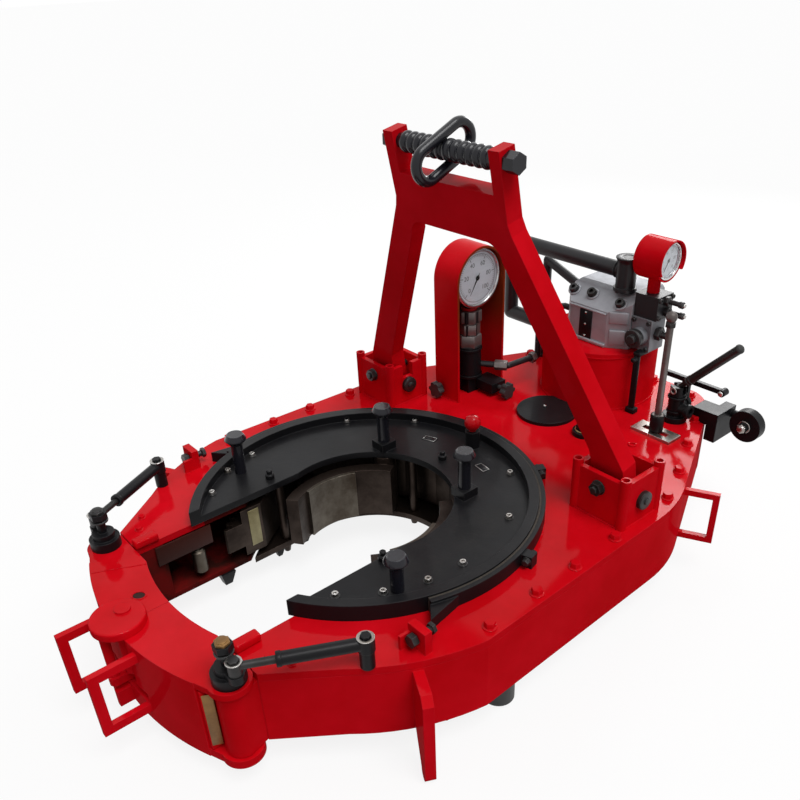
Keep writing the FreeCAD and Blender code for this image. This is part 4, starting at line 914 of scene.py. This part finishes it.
class TONG_OT_band(bpy.types.Operator):
    """Bolts and nuts of the brake band's joints and ends"""
    bl_idname = "tong.band"
    bl_label = "Brake band"

    def execute(self, context):
        radius, joint_gap, bolts = 391, 11, []
        for degrees in (15, 62):
            angle = math.radians(degrees)
            tangent = Vector((-math.sin(angle), math.cos(angle), 0))
            middle = Vector((math.cos(angle) * radius, math.sin(angle) * radius, DISH_TOP))
            bolts += [put_at(hex_head(13, 8), middle + tangent * way * joint_gap, tangent * way)
                      for way in (1, -1)]
        dress(joined(bolts), "band_joint_bolts", "Dark bolt")
        band_end = (401, -172, 251)
        dress(copies(ring(7.2, 11.5, 8, 1, 6), both([band_end]), "Y"), "band_nuts", "Dark bolt")
        return {"FINISHED"}


FACING = Matrix(((0, 0, 1), (1, 0, 0), (0, 1, 0))).to_4x4()


def on_dial(item, centre, reach, angle, turned_with=True):
    """Moves a mark from the XY plane to its place on a dial that faces +X."""
    spin = Matrix.Rotation(angle, 4, "Z") if turned_with else Matrix.Identity(4)
    spot = (reach, 0, 0) if turned_with else (reach * math.cos(angle), reach * math.sin(angle), 0)
    item.matrix_world = (Matrix.Translation(mm(*centre)) @ FACING @ spin
                         @ Matrix.Translation(mm(*spot)))
    return settle(item)


def dial_number(value, size):
    clear_selection()
    bpy.ops.object.text_add()
    text = bpy.context.object
    text.data.body = str(value)
    text.data.size = size * MM
    text.data.align_x = "CENTER"
    text.data.align_y = "CENTER"
    text.data.extrude = 0.05 * MM
    current(text)
    bpy.ops.object.convert(target="MESH")
    return bpy.context.object


def dial_face(name, centre, radius, marks):
    """White card with a 270 degree scale of plain numbers, facing +X."""
    x, y, z = centre
    start, sweep, small_steps, numbers = 225, 270, 50, 5
    card = turned(64, radius, [(0.3, radius * 0.997)])
    dress(put_at(card, centre, "X"), name + "_card", "Dial card")
    front = (x + 0.32, y, z)
    major = box((radius * 0.15, radius * 0.026, 0.15), 0.04, 1)
    minor = box((radius * 0.08, radius * 0.013, 0.15), 0.04, 1)
    bars = []
    for k in range(small_steps + 1):
        source, half = (minor, 0.04) if k % (small_steps // numbers) else (major, 0.075)
        angle = math.radians(start - sweep * k / small_steps)
        bars.append(on_dial(twin_of(source), front, radius * (0.9 - half), angle))
    for item in (major, minor):
        bpy.data.objects.remove(item)
    for k in range(numbers + 1):
        angle = math.radians(start - sweep * k / numbers)
        number = dial_number(marks * k, radius * 0.24)
        bars.append(on_dial(number, front, radius * 0.58, angle, False))
    dress(joined(bars), name + "_scale", "Needle lacquer")
    arc = on_dial(ring(radius * 0.905, radius * 0.918, 0.2, 0, 64), front, 0, 0)
    dress(arc, name + "_arc", "Needle lacquer")


class TONG_OT_gauges(bpy.types.Operator):
    """Dial cards, scales and bezels of the two gauges, and the torque gauge's fittings"""
    bl_idname = "tong.gauges"
    bl_label = "Gauges"

    def execute(self, context):
        sizes = size_values()
        for name, centre, radius, marks, bezel in (
                ("torque", TORQUE_GAUGE, sizes.dial / MM, 20, 75.2),
                ("pressure", PRESSURE_GAUGE, sizes.small_dial / MM, 5, 44.2)):
            dial_face(name, centre, radius, marks)
            x, y, z = centre
            rim = put_at(ring(radius + 0.6, bezel, 6, 2.5, 72), (x + 1.2, y, z), "X")
            dress(rim, name + "_bezel", "Polished bezel")
        nuts = assembled(
            (turned(6, 31.5, [(2, 32.5), (26.5, 32.5), (2, 31.5)]), (*COLUMN, 418.8), "Z", 10),
            (turned(6, 27.8, [(2, 28.8), (24, 28.8), (2, 27.8)]), (*COLUMN, 385.5), "Z", 22),
            (turned(6, 30.8, [(3, 32.8), (28, 32.8), (3, 30.8)]), (*COLUMN, 350), "Z", 10),
            (ring(14.5, 23.5, 5.5, 1.5), (*COLUMN, 413.3)))
        dress(nuts, "manifold_nuts", "Dull fitting")
        dress(put_at(ring(13.5, 21, 7, 2), (*COLUMN, 449.4)), "manifold_seal", "Red knob")
        dress(copies(ring(31.8, 34.5, 8, 2, 48), [(*COLUMN, 267), (*COLUMN, 341)]),
              "manifold_collars", "Black enamel")
        return {"FINISHED"}


class TONG_OT_motor(bpy.types.Operator):
    """Bolts, pads and bare plate of the motor casting"""
    bl_idname = "tong.motor"
    bl_label = "Motor"

    def execute(self, context):
        front_y, front_top, rise, run = 720, 470, 42, 55
        slope = Vector((0, -rise, run)).normalized()
        seats = [(x, y, front_top + (y - front_y) * rise / run)
                 for x, y in ((-76, 746), (-21, 748), (68, 744))]
        dress(copies(ring(11.5, 16.5, 3.5, 1.2), seats, slope), "block_seats", "Cast aluminium")
        dress(copies(socket_head(11.5, 14), seats, slope), "block_bolts", "Dark bolt")

        cut = Vector((32, -50, 0)).normalized()
        cut_middle = (72, 736)
        on_cut = Matrix(((0, -cut.y, cut.x), (0, cut.x, cut.y), (1, 0, 0))).to_4x4()
        pads = []
        for z, wide, tall, deep in ((408, 40, 38, 5), (458, 46, 30, 4)):
            pad = box((tall, wide, deep), 1.8, 3)
            pad.matrix_world = Matrix.Translation(mm(*cut_middle, z)) @ on_cut
            pads.append(settle(pad))
        pads += [put_at(box((116, 7, 9), 2, 3), (-8, 718, 380)),
                 put_at(box((112, 6, 5), 2, 3), (-10, 719, 462)),
                 put_at(box((6, 78, 46), 3, 3), (-92, 800, 400))]
        dress(joined(pads), "block_pads", "Cast aluminium")
        plate_x = -14
        dress(put_at(box((38, 2.5, 80), 0.8), (plate_x, 719, 384)), "bare_plate", "Black enamel")
        rivets = [(plate_x, 717.8, z) for z in (394, 424, 454)]
        dress(copies(stud(14, 3, 0.8, 0.8, 1.8), rivets, "-Y"), "plate_rivets", "Bright steel")
        return {"FINISHED"}


class TONG_OT_valve(bpy.types.Operator):
    """Studs, screws and stay of the valve beside the motor"""
    bl_idname = "tong.valve"
    bl_label = "Valve"

    def execute(self, context):
        studs, tips = [], []
        for y, z in ((788, 512), (794, 484)):
            studs += [put_at(stud(6, 12, 10, 2, 10), (160.8, y, z), "X"),
                      put_at(turned(16, 6, [(26, 6), (4, 8), (9, 8), (2, 6)]), (170, y, z), "X")]
            tips.append(put_at(stud(14, 4.5, 3, 1, 3), (211, y, z), "X"))
        cap = turned(24, 22.5, [(3, 24), (10, 24), (3, 21.5), (0, 12), (6, 12), (2, 10)])
        studs.append(assembled((cap, (125, 738, 423), "-Y"),
                               (stud(6, 16.5, 12, 2, 14.5), (153, 782, 430), "X"),
                               (stud(16, 9, 18, 2, 7), (165, 782, 430), "X")))
        front_y, flank_x = 754, 161
        front = [(x, front_y, z) for z in (394, 460) for x in (104, 146)]
        flank = [(flank_x, y, z) for z in (474, 517) for y in (764, 812)]
        bolts = [copies(socket_head(5.5, 6), front, "-Y"), copies(socket_head(5.5, 6), flank, "X")]
        dress(joined(studs + bolts), "valve_studs", "Dark bolt")
        dress(joined(tips), "valve_tips", "Bright steel")
        stay_x = 137
        stay = assembled((box((16, 9, 150), 3, 3), (stay_x, 735, 240)),
                         (box((26, 20, 14), 2.5, 3), (stay_x, 737, PLATE_TOP)),
                         (box((20, 40, 10), 3, 3), (stay_x, 750, 380)),
                         (stud(16, 6, 12, 2, 4), (stay_x, 730.5, 373), "-Y"))
        dress(stay, "valve_stay", "Black enamel")
        return {"FINISHED"}


class TONG_OT_pipes(bpy.types.Operator):
    """Nuts and sleeves of the pipes"""
    bl_idname = "tong.pipes"
    bl_label = "Pipes"

    def execute(self, context):
        nuts = assembled((ring(19.2, 21.5, 4, 1.5), (27, 778, 559), "-X"),
                         (ring(19.2, 26.2, 24, 2, 6), (-322, 778, 500)),
                         (ring(19.2, 26.2, 24, 2, 6), (-200, 778, 356), "X"),
                         (ring(12.2, 19, 20, 2, 6), (-250, 840, 240)),
                         (ring(12.2, 19, 18, 2, 6), (-94, 840, 455), "-X"),
                         (ring(12, 28.5, 4, 1.5), (50.25, 778, 591)))
        dress(nuts, "pipe_nuts", "Pipe enamel")
        down_line = (-0.8167, -0.577, 0)
        small = assembled((ring(8.2, 13.5, 34, 2, 6), (-161.7, 598.7, 300), down_line),
                          (ring(8.2, 14.5, 16, 1.5, 6), (-150, 701, 404)),
                          (ring(8.2, 14.5, 16, 1.5, 6), (-150.9, 691, 300), "-Y"))
        dress(small, "thin_pipe_nuts", "Dull fitting")
        return {"FINISHED"}


class TONG_OT_lifting(bpy.types.Operator):
    """Washers, pin caps and bolt ends of the lifting frame's brackets"""
    bl_idname = "tong.lifting"
    bl_label = "Lifting gear"

    def execute(self, context):
        x, y = BRACKET
        half_depth, half_width, pin_level, bolt_end = 60, 73, 276, 300.8
        rings = []
        for side in (1, -1):
            rings += [put_at(ring(8.5, 16.5, 3, 1), (side * x, y - half_depth, BRACKET_BOLT), "-Y"),
                      put_at(ring(8.5, 16.5, 3, 1), (side * x, y + half_depth, BRACKET_BOLT), "Y")]
            for reach, way in ((half_width, side), (-half_width, -side)):
                cap = turned(24, 19.5, [(2, 19.5), (1, 17.5), (0, 8), (3, 8), (1, 6)])
                rings.append(put_at(cap, (side * (x + reach), y, pin_level), (way, 0, 0)))
        dress(joined(rings), "bracket_washers", "Dark bolt")
        ends = copies(stud(6, 8.5, 4, 1, 7), both([(x, bolt_end, BRACKET_BOLT)]), "-Y", 12)
        dress(ends, "bracket_bolt_ends", "Dark bolt")
        return {"FINISHED"}


class TONG_OT_controls(bpy.types.Operator):
    """Sleeve, screws, rings and grips of the shift rod, the hand lever and the line roller"""
    bl_idname = "tong.controls"
    bl_label = "Controls"

    def execute(self, context):
        dress(put_at(ring(13.2, 16.5, 41, 2.5), (*SHIFT_ROD, 238)), "shift_sleeve", "Black enamel",
              "shifter")
        dress(put_at(ring(8.1, 12.5, 11, 1, 6), (*SHIFT_ROD, 500)), "shift_nut", "Dark bolt",
              "shifter")
        dress(put_at(ring(6, 10.5, 4, 1.8, 24), (239, 606, PLATE_TOP)), "plate_ring")

        x, y = HAND_VALVE
        collars = assembled((ring(14.1, 17.5, 12, 1.5), (x + 30, y, 261), "X"),
                            (ring(14.1, 17.5, 12, 1.5), (x, y + 30, 261), "Y"),
                            (ring(19.1, 22.5, 7, 2), (x, y, 286)),
                            (ring(19.1, 21.5, 5, 1.5), (x, y, 250)))
        dress(collars, "valve_collars", "Black enamel")
        dress(put_at(stud(16, 6.5, 4, 1, 5), (330, 806.2, 323), "-Y"), "bar_tip", "Bright steel")

        lever = Vector((1, 0, 1.06)).normalized()
        start, grip_length = Vector((x + 20, y, 334)), 166.5
        ribs = [put_at(ring(10.4, 11.5, 4, 0.5, 28), start + lever * way, lever) for way in (4, 12)]
        end = turned(28, 11.4, [(4, 10.8), (3, 8), (1, 4)])
        ribs.append(put_at(end, start + lever * grip_length, lever))
        dress(joined(ribs), "grip_ribs", "Moulded rubber", "hand_lever")
        half_pin, pin_level = 19.4, 311
        pins = [put_at(ring(5.1, 9, 3, 1, 20), (x, y + way * half_pin, pin_level), (0, way, 0))
                for way in (-1, 1)]
        dress(joined(pins), "lever_pin_rings", "Bright steel", "hand_lever")

        roller_x, roller_z = 387, 245
        roller = assembled((ring(8.5, 15, 2.5, 0.8), (roller_x, 837.4, roller_z), "-Y"),
                           (dome_nut(20, 10), (roller_x, 826.2, roller_z), "-Y"))
        dress(roller, "roller_nut", "Bright steel")
        return {"FINISHED"}


class TONG_OT_covers(bpy.types.Operator):
    """Centre dot of the round cover and the filler plug"""
    bl_idname = "tong.covers"
    bl_label = "Covers"

    def execute(self, context):
        dot = put_at(stud(16, 4.2, 1.5, 1, 2.5), (*ROUND_COVER, COVER_TOP))
        dress(dot, "cover_dot", "Bright steel")
        plug = turned(6, 19.5, [(12, 19.5), (3, 16.5), (0, 10.5), (4, 10.5), (1, 9)])
        dress(put_at(plug, (*FILLER, COVER_TOP), "Z", 8), "filler_plug", "Black enamel")
        dress(put_at(ring(19.6, 22.5, 3, 1), (*FILLER, COVER_TOP)), "filler_seal", "Yellow zinc")
        return {"FINISHED"}


class TONG_OT_throat(bpy.types.Operator):
    """Guide rollers, pads and horns that show inside the throat, and dark liners of painted shade and
    oil on its walls.
    """
    bl_idname = "tong.throat"
    bl_label = "Throat"

    def execute(self, context):
        roller = turned(28, 12, [(3, 15), (50, 15), (3, 12), (4, 12), (0, 6), (5, 6), (1, 5)])
        dress(copies(roller, both([(200, -308, 98)])), "guide_rollers", "Ground steel")
        pad_place, shade_liner_place, floor_horn = (183.6, -174), (187.5, -338), (202, -255)
        front_horn, rear_horn, horn_level = (197, -118), (203, -45), 39
        for name, side in SIDES:
            dress(put_at(box((2, 26, 92), 0.6), beside(side, pad_place, 110)), f"ring_pad_{name}",
                  "Aged bronze", "ring")
            # a dark brown liner paints the shade and oil on the throat wall
            dress(put_at(box((3, 126, 46), 1), beside(side, shade_liner_place, 165)),
                  f"throat_shade_liner_{name}", "Brown primer")
            dress(self.horn(12, 24, 33, beside(side, floor_horn, 32)), f"floor_horn_{name}",
                  "Black enamel")
            horns = [self.horn(7, 15, 22, beside(side, front_horn, horn_level)),
                     self.horn(10, 19, 22, beside(side, rear_horn, horn_level))]
            dress(joined(horns), f"cage_horns_{name}", "Black enamel", "cage")
        return {"FINISHED"}

    def horn(self, tip, root, height, place):
        """A square horn that hangs down with its narrow end below."""
        return put_at(turned(4, tip, [(height, root), (2, root)]), place, "Z", 45)


# Stage
def seen_directly(tree):
    """1 for rays that end in the picture: straight, mirrored or through glass."""
    path = put(tree, "ShaderNodeLightPath").outputs
    seen = maths(tree, "MAXIMUM", path["Is Camera Ray"], path["Is Glossy Ray"])
    return maths(tree, "MAXIMUM", seen, path["Is Transmission Ray"])


def mixed_output(tree, kind, factor, first, second):
    """Ends a tree with a mix of two shaders."""
    out = tree.nodes.new(kind)
    mix = put(tree, "ShaderNodeMixShader", {0: factor, 1: first.outputs[0], 2: second.outputs[0]})
    tree.links.new(mix.outputs[0], out.inputs[0])


def floor_material(values):
    """White where it is seen, a soft grey where it only throws light up."""
    material = bpy.data.materials.new("Pale floor")
    tree = bare_tree(material)
    seen = seen_directly(tree)
    tint = blend_colour(tree, seen, values.bounce, values.floor)
    matt = put(tree, "ShaderNodeBsdfDiffuse", {"Color": tint})
    glow = put(tree, "ShaderNodeEmission", {"Color": (1, 1, 1, 1), "Strength": 1.0})
    shine = 0.86
    mixed_output(tree, "ShaderNodeOutputMaterial", product(tree, seen, shine), matt, glow)
    return material


def even_sky(values):
    """White where it is seen, dimmer as a light."""
    world = bpy.data.worlds.new("Even sky")
    tree = bare_tree(world)
    dim, bright = (put(tree, "ShaderNodeBackground", {"Color": (1, 1, 1, 1), "Strength": power})
                   for power in (values.sky, 1.0))
    mixed_output(tree, "ShaderNodeOutputWorld", seen_directly(tree), dim, bright)
    return world


def add_lamp(name, kind, place, power, aim):
    clear_selection()
    bpy.ops.object.light_add(type=kind, location=place)
    lamp = bpy.context.object
    lamp.name = name
    lamp.data.energy = power
    lamp.rotation_euler = (aim - Vector(place)).to_track_quat("-Z", "Y").to_euler()
    return lamp.data


def add_camera(place, turn):
    """The camera that took the photograph."""
    clear_selection()
    bpy.ops.object.camera_add(location=place, rotation=[math.radians(angle) for angle in turn])
    camera = bpy.context.object
    camera.name = "photo_camera"
    camera.data.sensor_width = 36
    camera.data.lens = 37.144
    camera.data.shift_x = -0.02328
    camera.data.shift_y = 0.09363
    camera.data.clip_end = 100
    return camera


class TONG_OT_stage(bpy.types.Operator):
    """Floor, lamps, sky and camera"""
    bl_idname = "tong.stage"
    bl_label = "Stage"

    def execute(self, context):
        values = context.scene.tong_stage
        clear_selection()
        wide, level = 60, -0.0005
        bpy.ops.mesh.primitive_plane_add(size=wide, location=(0, 0, level))
        floor = bpy.context.object
        floor.name = "floor"
        settle(floor)
        floor.data.materials.append(floor_material(values))
        context.scene.world = even_sky(values)

        aim = Vector((0, 0.2, 0.2))
        add_lamp("sun", "SUN", (1.4, 0.2, 3.0), values.sun, aim).angle = math.radians(35)
        add_lamp("rear_box", "AREA", (-0.9, 3.0, 1.75), values.rear, aim).size = 1.1
        context.scene.camera = add_camera((1.1935, -0.8453, 1.2281), (57.379, 1.724, 49.094))
        context.scene.view_settings.view_transform = "Standard"
        return {"FINISHED"}


class TONG_PT_panel(bpy.types.Panel):
    bl_label = "Casing tong"
    bl_idname = "TONG_PT_panel"
    bl_space_type = "VIEW_3D"
    bl_region_type = "UI"
    bl_category = "Tong"

    def draw(self, context):
        for operator in OPERATORS:
            self.layout.operator(operator.bl_idname)
        for values in (context.scene.tong_finish, context.scene.tong_sizes, context.scene.tong_stage):
            for name in values.bl_rna.properties.keys():
                if name not in ("rna_type", "name"):
                    self.layout.prop(values, name)


OPERATORS = (TONG_OT_stage, TONG_OT_finishes, TONG_OT_plate_bolts, TONG_OT_case_details, TONG_OT_doors,
             TONG_OT_dish, TONG_OT_band, TONG_OT_gauges, TONG_OT_motor, TONG_OT_valve, TONG_OT_pipes,
             TONG_OT_lifting, TONG_OT_controls, TONG_OT_covers, TONG_OT_throat)
GROUPS = {"tong_finish": TongFinish, "tong_sizes": TongSizes, "tong_stage": TongStage}


def register():
    for name, kind in GROUPS.items():
        bpy.utils.register_class(kind)
        setattr(bpy.types.Scene, name, bpy.props.PointerProperty(type=kind))
    for kind in (*OPERATORS, TONG_PT_panel):
        bpy.utils.register_class(kind)


def unregister():
    for kind in (TONG_PT_panel, *reversed(OPERATORS)):
        bpy.utils.unregister_class(kind)
    for name, kind in GROUPS.items():
        delattr(bpy.types.Scene, name)
        bpy.utils.unregister_class(kind)


def main():
    register()
    for operator in OPERATORS:
        area, name = operator.bl_idname.split(".")
        getattr(getattr(bpy.ops, area), name)()


if __name__ == "__main__":
    main()
